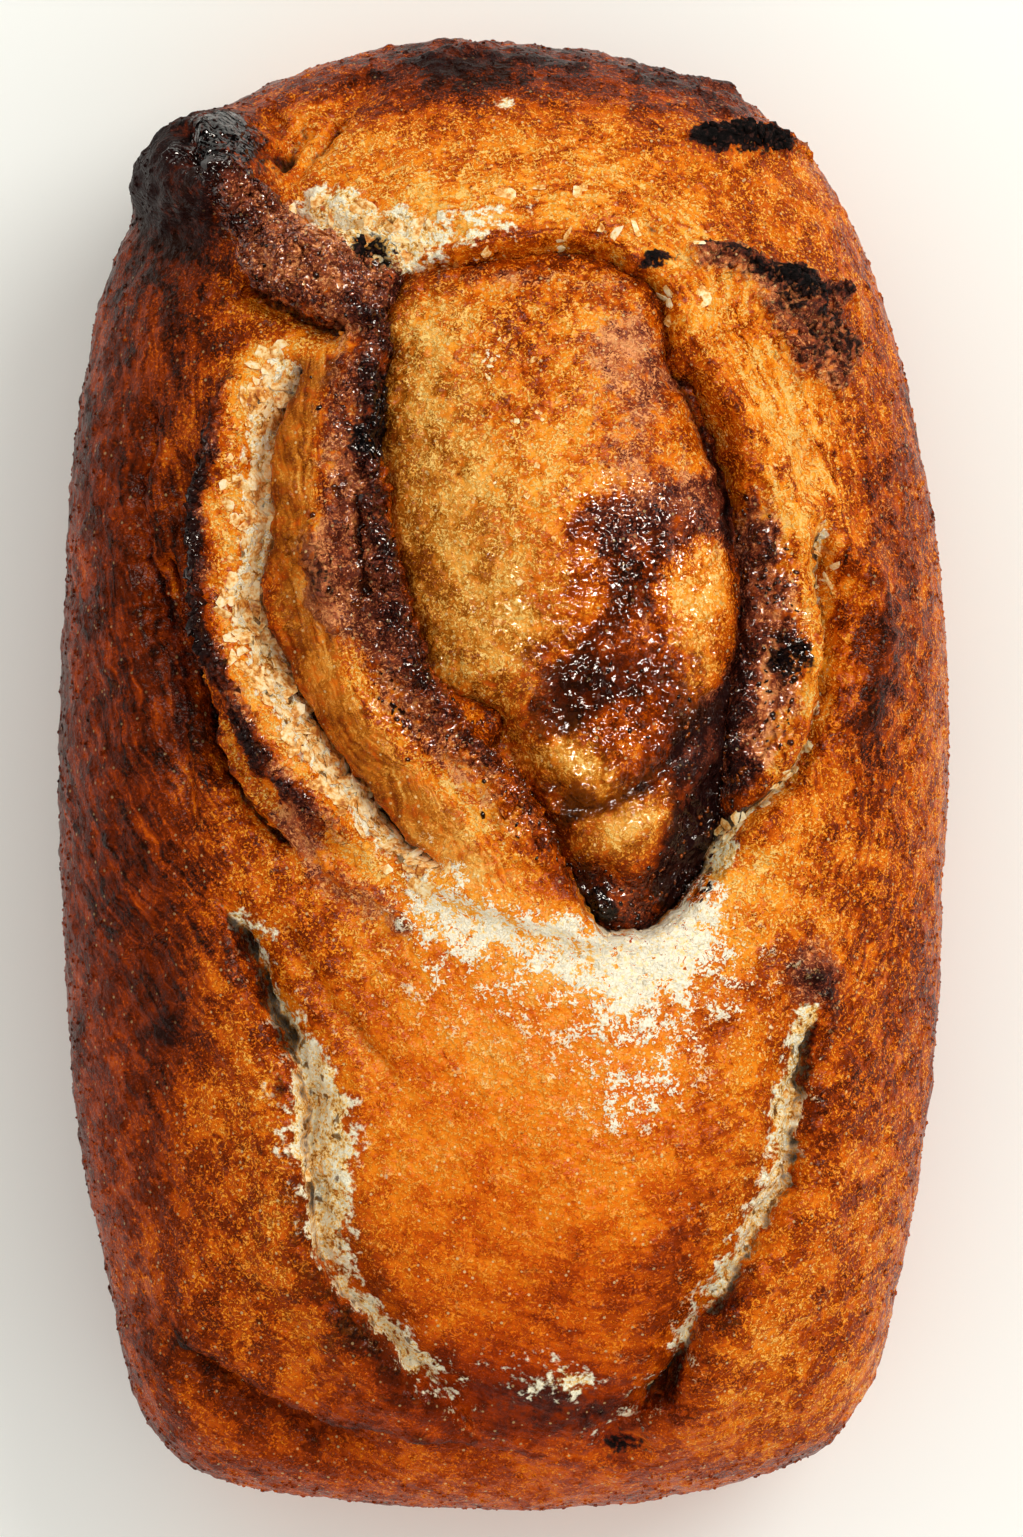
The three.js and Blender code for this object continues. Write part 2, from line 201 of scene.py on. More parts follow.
UPPER_EDGE = Line([-17, 81], [-2, 83.5], [8, 85], [15, 85.5], [21, 82], [27, 76], [32.5, 67])
HORN_RIDGE = Line([-46, 97], [-40, 90], [-34, 84.5], [-27, 81.5], [-20, 79.5])
LEFT_FLAP = Line([-28, 68], [-30.5, 50], [-29, 27], [-21, 8], [-8, -8], [4, -18])
LEFT_CRACK = Line([-32, 70], [-37, 54], [-38.5, 36], [-37, 21], [-30, 10], [-22, -3], [-9, -17])
LEFT_OUTER_RIDGE = Line([-39, 68], [-45, 56], [-48, 39], [-46.5, 22], [-40, 8], [-32, -3], [-19, -15])
LEFT_GROOVE = Line([-48.5, 55], [-50.5, 42], [-50.5, 24], [-47, 9], [-40, -3])
LEFT_FOLD = Line([-57, 40], [-55, 22], [-52, 4], [-49.5, -16])
FLAP_EDGE = Line([-19, -14.5], [-6, -19.5], [6, -24.5], [16, -27], [26, -24], [33, -19], [36, -12])
LOWER_LEFT_TEAR = Line(
    [-47, -19], [-42, -32], [-35.5, -45], [-33, -60], [-31, -76], [-23, -89], [-12, -101], [-2, -108],
)
LOWER_RIGHT_TEAR = Line(
    [51, -36], [49, -52], [47.5, -66], [40, -78], [32, -90], [26, -101], [13, -109.5],
)
BOTTOM_FOLD = Line([-53, -93], [-44, -101], [-31, -107], [-15, -111.5])
RIGHT_CRACK = Line([50, 43], [52.5, 30], [52.5, 16], [48, 1], [39, -9], [35, -16])
RIGHT_LIP = Line([51, 43], [56.5, 31], [58.5, 19], [54, 2])
UPPER_TEAR = Line([-37, 95], [-28, 88.5], [-16, 84])
UPPER_FOLD = Line([-40, 92], [-34, 101], [-26, 110], [-17, 115])

# Finer ones, too low for the solid.
LEFT_CREVICE = Line(
    [-31.5, 67], [-34.5, 60], [-37, 50], [-37.2, 38], [-38.5, 28], [-36, 19], [-31.5, 10.5], [-24, 0],
    [-15.5, -9.5], [-7, -16.5],
)
LEFT_FLAKE = Line([-36.5, 60], [-40, 50], [-40.5, 38], [-41, 28], [-38.5, 17], [-32, 6], [-24, -4])
EAR = Line(
    [-41.3, 85.3], [-40.4, 79.4], [-36.4, 75.6], [-30.7, 72.7], [-23, 71.3], [-17, 74], [-16.5, 83.4],
    [-22, 84.8], [-31.6, 88.6], [-35.4, 92], [-41.5, 94], closed=True,
)
BURNT_PATCH = Line(
    [30.5, 81], [34.5, 80], [38.5, 78.5], [41.5, 73.5], [44.5, 68.5], [46.5, 64], [49, 63], [53.5, 61.5],
    [55, 65], [57.5, 68.5], [56, 71], [54, 74.5], [55, 77.5], [49.5, 80.5], [43.5, 82], [39.5, 82.5],
    [34, 85], [29.5, 85], closed=True,
)
RIGHT_GAP = Line([27, 66], [30, 60.5], [33.5, 53], [36, 44], [37.6, 36], [38.2, 26])
WET_WALL = Line(
    [32, 11.6], [29, 6], [27, 1.6], [26.4, -7.2], [23.3, -14.8], [28, -20], [33, -19], [36.5, -12],
    [38, -5], [42.2, 2.8], [45, 10], [46.6, 18], [46, 28], [44.7, 35.5], [42.5, 42], [40.5, 46],
    [39.7, 35.3], [38.5, 25.3], [37.2, 16.6], closed=True,
)
FLOURED_EDGE = Line(
    [-22, -14.5], [-12, -19.5], [0, -25.5], [10, -29], [18, -30], [26, -27], [32, -21], [36, -14],
)
PIT = Line(
    [8, -13], [12, -20], [16, -25], [21, -25.5], [26, -24.5], [32, -20], [36, -13], [38, -6], [36, 2],
    [31, -3], [27, -12], [21, -16], [14, -14.5], closed=True,
)
STAIN = Line(
    [38.2, 45.1], [29.5, 46.7], [21.5, 43.5], [12.8, 41.9], [9.6, 36.4], [15.2, 32.4], [16, 26],
    [11.2, 19.7], [5.7, 14.9], [4.1, 8.6], [6.5, 4.6], [13.6, 8.6], [21.5, 11.8], [24.7, 8.6],
    [18.4, 2.2], [10.4, -2.5], [8.8, -7.3], [18.4, -4.1], [27.9, 2.2], [34.3, 8.6], [36.5, 13.4],
    [31, 13.4], [26.3, 19.7], [23.1, 27.6], [25.5, 34], [31, 38.8], [37.4, 37.2], closed=True,
)
UPPER_GLAZE = Line(
    [10.3, 41.5], [12.2, 37.7], [18.3, 34.1], [16, 29], [17.2, 25.2], [19.6, 24], [23.4, 29],
    [27.2, 34.1], [30.9, 37.7], [35.9, 35.2], [37.2, 41.5], [33.4, 44.1], [27.2, 42.8], [18.3, 39.6],
    closed=True,
)
LOWER_GLAZE = Line(
    [2.5, 7.5], [5, 4], [9, 6.5], [13.5, 9], [19, 5], [25, 3], [31, 9.5], [27.5, 13], [21, 17.8],
    [14.7, 17.8], [8.4, 14.5], [4.7, 11], closed=True,
)
SECOND_FOLD = Line([-59, -82], [-50, -95], [-35, -103], [-12, -107.5], [12, -110])
HORN_VALLEY = Line([-38.5, 108], [-35.5, 102], [-34.5, 96], [-30, 91])
HORN_GROOVE = Line([-48.5, 104], [-47, 99.5], [-46, 95.5])
EAR_UNDERSIDE = Line([-42, 80], [-35.5, 76], [-30.5, 73], [-23.5, 71.5])
EAR_TOP = Line([-37.5, 97.5], [-33.5, 90], [-27.5, 88.5], [-23, 85.5])
RIM_SLIT = Line([-23.5, 46.5], [-23.5, 41], [-22.5, 33], [-21.5, 26.5])
RIM_CHAR = Line([-18.5, 66], [-20.5, 56.5], [-23, 49])
OUTER_CHAR = Line(
    [-41.5, 64.5], [-44.5, 59], [-46.5, 50], [-48, 41], [-47, 30], [-45.5, 20], [-39.5, 6], [-31, -5],
    [-19, -15.5],
)
SHOULDER_CHAR = Line([-37, -3], [-28.5, -15.5], [-21, -20], [-13, -27])
FLANK_CREASE = Line([-58, 62], [-57, 52], [-58.5, 44.5], [-57.5, 31], [-55.5, 21.5])
FLANK_FOLD = Line([-55, 37.5], [-53, 26.5], [-51.5, 15.5], [-47.5, 5], [-44, -3])
INNER_FLANK_FOLD = Line([-51.5, 28], [-49.5, 15], [-46.5, 4], [-40.5, -5.5], [-32.5, -13.5])
TONGUE_FOLD = Line([-37, -22], [-33.5, -27.5], [-23, -41.5], [-18, -47.5], [-13, -54])
TOP_FOLD = Line([-37, 99.5], [-34, 103.5], [-32, 106.5])
TOP_CREASE = Line([-34, 95.5], [-28.5, 104.5], [-26.5, 107.5])
SMALL_TEAR = Line([39.5, -32], [42.5, -28.5])
SMALL_CLEFT = Line([46.5, 54], [49.5, 49])
BOTTOM_CREASE = Line([-39.5, -79.5], [-34, -88], [-28, -95])
LEFT_SYRUP = Line([-19, 18], [-14, 11], [-8.5, 7.5], [-2, 1.5], [5, -8])
GOLDEN_COLLAR = Line([38, 72], [43, 60], [47.5, 49.5], [49, 36], [49, 22], [46.5, 7.5], [40, -3])

HEART_FOLD = Line([5, -1], [9, -4.5], [13.5, -5.5], [19.5, -3], [26, 1], [29, 7.5])
HEART_CREASE = Line([-16.5, 74.5], [-12, 77.5], [-6, 80.5])
LOWER_CREASE = Line([-17.5, 72], [-9, 75.5], [2, 78])
SYRUP_ARC = Line([1.5, 4], [4.5, 12], [10, 15], [15.5, 9], [22, 4])
SYRUP_TRAIL = Line([37, 40], [28, 40], [22, 34], [20, 26], [14, 17], [8, 11])


# ---- shapes on the plan ----------------------------------------------------------------------------
# How far lines and patches wander from their named places, and over what length.
FOLD_WANDER = [(1.0, 7.0), (0.6, 2.4), (0.35, 1.0)]
PAINT_WANDER = [(1.6, 9.0), (1.1, 3.4), (0.6, 1.3)]
FADE = 0.12  # the share of a line, at each end, over which what it makes fades out


class Surface:
    """Points of the smooth body: their places, their outward ways and their share of the relief."""

    def __init__(self, rest, plan, outward, share, wander):
        self.rest, self.plan, self.outward, self.share = rest, plan, outward, share
        flat = np.column_stack([plan, np.zeros(len(plan))])
        self.x, self.y = plan.T.copy()
        for n, (far, size) in enumerate(wander):
            self.x += far * noise(flat, size, seed=n + 1)
            self.y += far * noise(flat, size, seed=n + 5)
        self.found = {}

    def wandering(self, wander):
        """The same points, with other raggedness."""
        return Surface(self.rest, self.plan, self.outward, self.share, wander)

    def find(self, line):
        if id(line) not in self.found:
            self.found[id(line)] = line.find(self.x, self.y)
        return self.found[id(line)]


def on(line, left, right=None, offset=0.0, start=FADE, end=FADE, power=1):
    """A band along a line: its widths on both sides, and the shares of the line over which it fades."""

    def shape(surface):
        distance, share, _ = surface.find(line)
        away = distance - offset
        width = np.where(away > 0, left, right or left)
        fade = smooth(0, start, share) * smooth(0, end, 1 - share)
        return fade * np.exp(-(np.abs(away / width) ** (2 * power)))

    return shape


def ledge(line, side, reach, start=FADE, end=FADE):
    """A sharp step at a line that runs out over its reach, leftwards with side 1 and rightwards with -1."""

    def shape(surface):
        distance, share, _ = surface.find(line)
        away = distance * side
        fade = smooth(0, start, share) * smooth(0, end, 1 - share)
        return fade * smooth(-0.3, 0.4, away) * np.exp(-((away / reach) ** 2))

    return shape


def within(line, edge=0.8):
    """Everything inside a closed line that is drawn anticlockwise."""

    def shape(surface):
        distance = surface.find(line)[0]
        return smooth(-edge, edge, np.where(distance == FAR, -FAR, distance))

    return shape


def at(place, radii, turn=0, power=1):
    """An oval patch: its two radii and its turn in degrees. A higher power gives it a firmer edge."""

    def shape(surface):
        angle = math.radians(turn)
        dx, dy = surface.x - place[0], surface.y - place[1]
        along = (dx * math.cos(angle) + dy * math.sin(angle)) / radii[0]
        across = (dy * math.cos(angle) - dx * math.sin(angle)) / radii[1]
        return np.exp(-((along**2 + across**2) ** power))

    return shape


def everywhere(surface):
    return np.ones(len(surface.x))


def total(surface, marks):
    return sum(amount * shape(surface) for amount, shape in marks)


# ---- relief: heights in millimetres ----------------------------------------------------------------
# Shapes that the tables name more than once.
EAR_SKIN = within(EAR, 1.0)
BURNT_SKIN = within(BURNT_PATCH, 1.5)
BURNT_LUMPS = within(BURNT_PATCH, 2)
WET_SIDE = within(WET_WALL, 1.5)
WET_MIDDLE = within(WET_WALL, 1.0)
PIT_FLOOR = within(PIT, 1.5)
PIT_LUMP = at([15.5, -21.5], [3, 2.6])
PIT_CINDER = at([15.5, -21.5], [3.6, 3], power=2)
TOP_CINDER = at([38, 101.7], [8.4, 2.9], power=3)
TEAR_HEAD = at([48.5, -32.5], [6, 7])
FLAP_SKIN = on(LEFT_FLAP, 3, 5, offset=-1.5, start=0.05, end=0.1, power=2)

TEAR = 1.6
FOLDS = [
    (5, on(RIM_LEFT, 2.2, 6, start=0.1, end=0.15)),
    (4.5, on(RIM_RIGHT, 5, 3.5, start=0.15, end=0.15)),
    (3.5, on(UPPER_EDGE, 11, 2.2, start=0.15, end=0.2)),
    (5.5, on(HORN_RIDGE, 4, 6, start=0.3, end=0.15)),
    (3, on(LEFT_FLAP, 5, 4.5, start=0.15, end=0.15)),
    (-3.4, on(LEFT_CRACK, 2.2, 3.4, start=0.15, end=0.15)),
    (4.5, on(LEFT_OUTER_RIDGE, 4.5, 2.4)),
    (-3, on(LEFT_GROOVE, 2.4, 4, start=0.25, end=0.25)),
    (-3.0, on(LEFT_FOLD, 1.6, 3.4, start=0.25, end=0.3)),
    (3, on(FLAP_EDGE, 6, 2.2, offset=0.5, start=0.15, end=0.15)),
    (-3.4, on(LOWER_LEFT_TEAR, 5, 1.8, offset=TEAR, start=0.15, end=0.2)),
    (2.6, on(LOWER_LEFT_TEAR, 1.8, 8, offset=-TEAR, start=0.15, end=0.2)),
    (-3.4, on(LOWER_RIGHT_TEAR, 1.8, 5, offset=-TEAR, end=0.15)),
    (2.6, on(LOWER_RIGHT_TEAR, 8, 1.8, offset=TEAR, end=0.2)),
    (-2.4, on(BOTTOM_FOLD, 2, 4, start=0.3, end=0.3)),
    (-2.0, ledge(BOTTOM_FOLD, -1, 4, start=0.2, end=0.3)),
    (-2.4, ledge(SECOND_FOLD, -1, 5, start=0.2, end=0.3)),
    (-6, on(RIGHT_CRACK, 1.5, 2.6, start=0.2, end=0.2)),
    (3.6, on(RIGHT_LIP, 4, 2, start=0.25, end=0.3)),
    (-3.6, on(UPPER_TEAR, 2.2, 5, offset=-2.5, start=0.25, end=0.2)),
    (-2.2, on(UPPER_FOLD, 1.8, 3.5, start=0.25, end=0.3)),
    (2.5, at([-38, 86], [9, 5], -45)),
    (6, at([12, -66], [30, 36])),
    (3, at([38, 102], [7.5, 2.5])),
    (1.6, at([45, 74], [13, 7], -40)),
    (2, at([18, 103], [26, 9], -5)),
    (1.6, at([-36, 25], [3, 5], 10)),
]
CREASES = [
    (-1.4, ledge(LOWER_LEFT_TEAR, 1, 3.0, end=0.25)),
    (-1.4, ledge(LOWER_RIGHT_TEAR, -1, 2.6, end=0.2)),
    (-4.6, on(LEFT_CREVICE, 1.2, 1.0, start=0.05, end=0.1)),
    (-1.3, on(LEFT_FLAKE, 0.6, 1.0)),
    (1.2, ledge(LEFT_FLAKE, -1, 3.0)),
    (2.2, within(EAR)),
    (1.2, BURNT_SKIN),
    (-3.0, within(WET_WALL, 2.5)),
    (-2.0, ledge(RIGHT_CRACK, 1, 2.0)),
    (-2.0, ledge(EAR_UNDERSIDE, -1, 3.0)),
    (-1.6, ledge(OUTER_CHAR, -1, 2.4)),
    (-1.4, ledge(SHOULDER_CHAR, -1, 3.0)),
    (-2.8, on(HORN_VALLEY, 1.6, 2.4)),
    (-3, on(HORN_GROOVE, 1.4)),
    (-2.6, on(EAR_UNDERSIDE, 1.2, 2.2)),
    (-1.6, on(EAR_TOP, 1.6, 1.0)),
    (-2.4, on(RIM_SLIT, 0.8)),
    (1.8, on(OUTER_CHAR, 1.2, 1.6)),
    (0.9, on(SHOULDER_CHAR, 1.4, 2)),
    (-2.8, on(FLANK_CREASE, 1.0, 1.8)),
    (1.0, ledge(FLANK_CREASE, 1, 3.0)),
    (-4.0, on(FLANK_FOLD, 1.0, 2.0)),
    (1.8, ledge(FLANK_FOLD, 1, 3.0)),
    (-3.6, on(INNER_FLANK_FOLD, 1.0, 1.8)),
    (1.7, ledge(INNER_FLANK_FOLD, 1, 3.0)),
    (-1.8, on(TONGUE_FOLD, 1.0, 2.4, start=0.3, end=0.4)),
    (-2.2, on(TOP_FOLD, 0.9, 1.8)),
    (-2.4, on(TOP_CREASE, 0.9, 2)),
    (-1.2, on(SMALL_TEAR, 0.8)),
    (-1.4, on(SMALL_CLEFT, 1.0)),
    (-0.9, on(BOTTOM_CREASE, 1.0, 2, start=0.3, end=0.3)),
    (-1.2, at([-47, 91], [2, 1.6])),
    (-1.2, at([-41.5, 84.5], [1.8, 1.6])),
    (-1.0, at([-45, 79.5], [2.2, 1.6])),
    (2.0, at([-28.5, 32.5], [3.4, 6.5], 20, power=2)),
    (1.4, at([-20, 84], [2.6, 2.4])),
    (1.6, at([45, 19], [2.4, 4.5])),
    (1.5, PIT_LUMP),
    (-2.6, at([-43, -28], [1.4, 2.4], 20)),
    (-2.6, at([-40, -35], [1.5, 2.2], 20)),
    (-1.6, at([-36, -41], [2.2, 2.4])),
    (-1.8, at([-30.5, -55], [2.6, 4.5])),
    (-2.0, at([50, -43], [1.4, 3])),
    (-3.0, at([26.5, -99], [2.2, 3.5], -35)),
    (-1.5, at([19, -107.5], [4, 2])),
    (-1.2, at([15.5, 87], [2.4, 1.4])),
    (-1.4, at([24, 86.5], [2.0, 1.5])),
    (-0.8, at([-49.5, -95], [3, 2])),
    (-0.9, at([34, -41.5], [2.4, 1.6])),
]
HORN = at([-48, 98], [13.5, 9.5], -15, power=2)
HORN_HEIGHT = 15
HORN_LEAN = np.array([-0.25, 0.12, 1.0])

# Lips that hang over their tears: how far they lean to the line's left, and where across it they stand.
LEANING_LIPS = [
    (1.5, LOWER_LEFT_TEAR, -TEAR * 0.6, 2.2),
    (-1.5, LOWER_RIGHT_TEAR, TEAR * 0.6, 2.2),
    (-2.0, LEFT_CREVICE, 2.2, 2.0),
    (-1.0, RIGHT_CRACK, 2.6, 2.2),
    (-1.2, EAR_UNDERSIDE, 2.4, 2.0),
]
LIP_LEAN = 1.5  # the collar's own, over the heart
LIP_AT = -1.4
UNDERCUT = 1.3

# ---- paint: what the oven did to each place, from 0 to 1 --------------------------------------------
# bake is how dark the crust is, over the general shade. purple is the purple-brown of the knobbly folds,
# char is burnt black, crumb is the pale torn inside, the mask of painted shade darkens the folds, cracks
# and holes, glaze is set syrup, amber is smooth golden skin, tan is sandy skin and fibre is skin that
# stretched in streaks. Shreds, beads, blisters and scabs say where the small solids lie.
PAINT = {
    "bake": [
        (-0.14, at([6, -52], [36, 34], power=1.5)),
        (-0.10, at([4, -58], [22, 40])),
        (0.10, at([-16, -95], [20, 10], -40)),
        (0.10, at([12, -104], [20, 7])),
        (0.10, at([30, -64], [5, 16], -10)),
        (0.10, at([9, -78], [6, 8])),
        (-0.28, on(GOLDEN_COLLAR, 5, 6, start=0.1, end=0.1, power=1.5)),
        (-0.08, at([52, 55], [12, 18])),
        (-0.20, on(UPPER_EDGE, 13, 3, start=0.02, end=0.1, power=1.5)),
        (0.18, at([-50, 78], [12, 24])),
        (-0.22, at([-30, 67.5], [7, 3], -5)),
        (0.10, at([-40, -95], [26, 16], -25)),
        (-0.08, at([5, -112], [26, 8])),
        (-0.10, at([-20, 99], [14, 8], -15)),
        (0.26, at([4, 112], [38, 8])),
        (0.14, at([8, -100], [15, 8])),
        (0.12, at([26, -74], [8, 16], -25)),
        (0.10, at([-22, -84], [6, 14], 30)),
        (-0.08, at([28, -64], [12, 18], -10)),
        (0.12, on(BOTTOM_FOLD, 1, 2.5, start=0.2, end=0.3)),
        (0.12, on(SECOND_FOLD, 1, 2.5, start=0.2, end=0.3)),
        (-0.14, at([2, 104], [16, 8])),
        (-0.16, on(TOP_CREASE, 0.8, 2.4, offset=-2.0)),
        (-0.18, at([-33, 101], [5, 9], -25)),
        (0.20, at([-6.5, 116], [12, 4])),
        (0.10, at([36, 108], [18, 8], -30)),
        (-0.10, on(LEFT_FLAP, 4, 4, power=1.5)),
        (-0.34, on(LEFT_CREVICE, 2, 2.4, offset=-6.2, start=0.05, end=0.15, power=1.5)),
        (0.08, on(RIM_LEFT, 3, 5, start=0.05, end=0.15, power=1.5)),
        (-0.26, at([-7, -5], [6, 5], -50)),
        (0.24, on(OUTER_CHAR, 2.5, 3)),
        # Darker in the groove beside the outer ridge: painted shade.
        (0.14, on(LEFT_GROOVE, 4, 4)),
        # Paler ridges beside the flank folds: painted highlight where the ridges catch the light.
        (-0.22, on(FLANK_FOLD, 1.4, 0.6, offset=1.5)),
        (-0.20, on(INNER_FLANK_FOLD, 1.4, 0.6, offset=1.5)),
        (-0.16, on(FLANK_CREASE, 1.4, 0.6, offset=1.5)),
        (0.10, at([60, -50], [6, 22])),
        (-0.24, on(FLAP_EDGE, 5, 9, power=1.5)),
        (0.20, at([-54, -39.5], [6, 8])),
        (0.16, TEAR_HEAD),
        (0.12, at([34, -41.5], [3, 5])),
        (0.20, at([58, 12], [3, 12])),
        (0.20, WET_SIDE),
        (0.3, at([-49, 95], [13, 13], power=1.5)),
        (-0.12, on(RIGHT_GAP, 4, 0.5)),
        (-0.18, at([41, -14], [8, 5], 45)),
        (-0.1, at([60, -70], [6, 30])),
        (-0.1, at([-52, -85], [12, 26], 15)),
        (0.12, at([62, 40], [6, 22])),
    ],
    "purple": [
        (1.0, EAR_SKIN),
        (1.0, at([-49, 95], [13, 11], -20, power=2)),
        (0.9, on(RIM_LEFT, 1, 6.5, start=0.02, end=0.3, power=2)),
        (0.8, at([-27, 31], [6, 11], 12, power=2)),
        (0.7, on(OUTER_CHAR, 1.8, 2.4, power=2)),
        (0.7, on(SHOULDER_CHAR, 2.4, 3.4, power=2)),
        (1.0, BURNT_SKIN),
        (0.5, at([-20, 30], [2.5, 9], 15)),
        (0.45, at([62, 30], [7, 34])),
        (0.7, TEAR_HEAD),
        (0.4, at([-53, -39.5], [5, 7])),
        (0.7, at([8, -101], [15, 7])),
        (0.3, at([24, -74], [7, 12], -25)),
        (0.9, WET_SIDE),
        (0.5, at([20, 116], [22, 5], -10)),
        (0.5, at([-12, 116], [22, 5], 5)),
        (0.4, at([35, 110], [14, 5], -35)),
        (0.4, on(LEFT_FOLD, 1.5, 2.5)),
    ],
    "char": [
        (0.4, at([-47, 102.5], [12, 6.5], -18, power=2.5)),
        (0.5, at([-41.5, 99], [5, 6], -30, power=2.5)),
        (0.2, at([-52, 94], [12, 14], power=2)),
        (0.9, at([-20.5, 84], [3.6, 2.8], power=2)),
        (1.0, on(RIM_CHAR, 2.2, 3.4, start=0.1, end=0.1, power=2)),
        (0.35, on(HORN_RIDGE, 2, 3)),
        (0.45, on(OUTER_CHAR, 0.8, 1.6, start=0.05, end=0.3)),
        (1.0, TOP_CINDER),
        (1.0, at([24.5, 82.5], [2.5, 1.5], power=2)),
        (0.55, BURNT_LUMPS),
        (0.2, at([44, 79.5], [9, 2.6], -22, power=2)),
        (0.9, at([45.5, 19], [2.6, 5], power=2)),
        (0.9, PIT_CINDER),
        (0.4, at([-28, 31], [2.4, 5], 20)),
        (0.7, at([19.5, -107.5], [4.5, 2.2], 20, power=2)),
        (0.35, at([2, -103], [6, 2])),
        (0.5, at([-57, -93], [2, 3])),
    ],
    "crumb": [
        (1.0, on(LEFT_CREVICE, 0.6, 5.0, start=0.04, end=0.06, power=2)),
        (1.1, at([-22.5, 88], [10.5, 5.4], -22, power=2)),
        (0.5, at([-6, 88], [12, 4], power=1.5)),
        (0.7, on(LOWER_LEFT_TEAR, 6, 1.4, offset=TEAR * 0.6, start=0.05, end=0.25)),
        (0.7, at([-30, -58], [7, 16], 8)),
        (0.7, on(LOWER_RIGHT_TEAR, 1.0, 5.0, offset=-TEAR * 0.6, start=0.02, end=0.25)),
        (0.3, at([43, -62], [3.5, 16], -12)),
        (0.34, at([12, -96], [4, 3])),
        (0.26, at([4, -96], [13, 9])),
        (0.4, at([20, -106], [7, 3])),
        (0.9, on(RIGHT_CRACK, 0.9, 1.7, start=0.1, end=0.05, power=2)),
        (0.9, at([36.5, -13.5], [2.6, 4], -30, power=2)),
        (0.7, at([0, 108], [2, 3])),
    ],
    "flour": [
        (0.42, on(FLOURED_EDGE, 5, 5, start=0.15, end=0.12, power=1.5)),
        (0.40, on(FLOURED_EDGE, 4, 17, start=0.25, end=0.25)),
        (0.30, at([20, -50], [7, 9])),
        (0.3, at([-9, -14], [7, 2.4], -35)),
        (0.14, on(LOWER_LEFT_TEAR, 9, 1, start=0.2)),
        (0.14, on(LOWER_RIGHT_TEAR, 1, 9)),
    ],
    # Painted shade: dark colour in the folds, cracks, slits and holes, where shade falls.
    "painted_shade": [
        (1.4, on(LEFT_CREVICE, 0.9, 0.7, start=0.05, end=0.1)),
        (0.5, on(LEFT_FLAKE, 0.4, 0.5)),
        (0.9, on(LOWER_LEFT_TEAR, 0.7, 0.5, offset=0.2, start=0.02, end=0.6)),
        (0.8, on(LOWER_RIGHT_TEAR, 0.5, 0.7, offset=-0.2, start=0.05, end=0.15)),
        (0.9, on(EAR_UNDERSIDE, 0.6, 1.4)),
        (1.3, on(RIGHT_CRACK, 0.6, 1.6, offset=-0.6)),
        (1.0, on(RIM_SLIT, 0.7)),
        (0.9, on(FLANK_FOLD, 0.7, 1.0)),
        (0.9, on(INNER_FLANK_FOLD, 0.7, 1.0)),
        (0.8, on(FLANK_CREASE, 0.7, 1.0)),
        (0.6, on(LEFT_FOLD, 0.8, 1.2, start=0.25, end=0.3)),
        (0.7, on(TOP_CREASE, 0.7, 0.9)),
        (0.7, on(TOP_FOLD, 0.7, 0.9)),
        (0.6, on(TONGUE_FOLD, 0.8, 1.0, start=0.2, end=0.4)),
        (0.5, on(UPPER_FOLD, 0.8, 1.2)),
        (1.6, at([-43, -28], [1.6, 3.4], 20, power=1.5)),
        (1.6, at([-39.5, -35.5], [1.8, 3.0], 20, power=1.5)),
        (1.2, at([-35.5, -42], [2.2, 2.4], power=1.5)),
        (1.0, at([-36.5, -50], [1.0, 3.4])),
        (0.8, at([-32, -67], [0.9, 3.0], 10)),
        (0.9, at([46, -64], [0.9, 3.2], -10)),
        (0.9, at([37, -84], [0.9, 3.0], -40)),
        (1.3, at([49.5, -45], [1.2, 4.5], -5, power=1.5)),
        (1.8, at([26.5, -99], [2.2, 4.2], -40, power=1.5)),
        (0.8, at([19, -107.5], [3.4, 1.4])),
        (0.8, at([15.5, 87], [2.0, 1.0])),
        (0.9, at([24, 86.5], [1.6, 1.1])),
        (0.5, on(HORN_GROOVE, 1.0)),
        (0.5, on(BOTTOM_FOLD, 0.8, 1.2, start=0.3, end=0.3)),
    ],
    "glaze": [
        (1.0, on(LEFT_SYRUP, 3.2, 4.2, start=0.15, end=0.2, power=2)),
        (1.0, WET_MIDDLE),
        (1.0, at([22, -18], [9, 5], 25, power=2)),
        (0.7, at([-43, 100], [6, 6])),
        (0.8, at([45, 19], [3.4, 6], power=2)),
        (0.65, on(RIM_LEFT, 2, 6)),
        (0.3, on(HORN_RIDGE, 4, 6)),
        (0.4, on(OUTER_CHAR, 2, 2)),
        (0.5, EAR_SKIN),
        (0.3, at([-44, 98], [6, 8], -20, power=2)),
    ],
    "amber": [
        (0.9, FLAP_SKIN),
        (0.8, at([4, -58], [36, 44], power=2)),
        (0.6, at([-66, -10], [18, 100], power=2)),
        (0.6, at([-6, -112], [64, 22], power=2)),
        (0.3, on(GOLDEN_COLLAR, 5, 5)),
        (0.3, on(UPPER_EDGE, 12, 2)),
    ],
    "tan": [
        (0.8, FLAP_SKIN),
        (0.4, at([-30, -72], [10, 22], 15)),
        (0.3, at([40, -66], [6, 20], -15)),
    ],
    "shreds": [
        (1.0, on(LEFT_CREVICE, 0.5, 4.6, offset=-0.8, start=0.04, end=0.05, power=2)),
        (0.06, on(LOWER_LEFT_TEAR, 2.6, 0.6, offset=1.4, start=0.3, end=0.3, power=1.5)),
        (0.06, on(LOWER_RIGHT_TEAR, 0.6, 2.2, offset=-1.4, start=0.2, end=0.3, power=1.5)),
        (0.6, at([-22.5, 88], [9, 4.4], -20, power=1.5)),
        (0.07, on(UPPER_EDGE, 8, 1, start=0.02, end=0.1)),
        (0.7, on(RIGHT_CRACK, 0.8, 1.2)),
    ],
    "beads": [
        (1.0, on(LEFT_SYRUP, 2.6, 3.6, start=0.15, end=0.2, power=2)),
        (0.9, WET_MIDDLE),
        (0.6, on(RIM_LEFT, 1, 4)),
        (0.35, within(EAR, 2)),
    ],
    "blisters": [(1.0, everywhere)],
    "scabs": [
        (1.0, within(EAR, 1.5)),
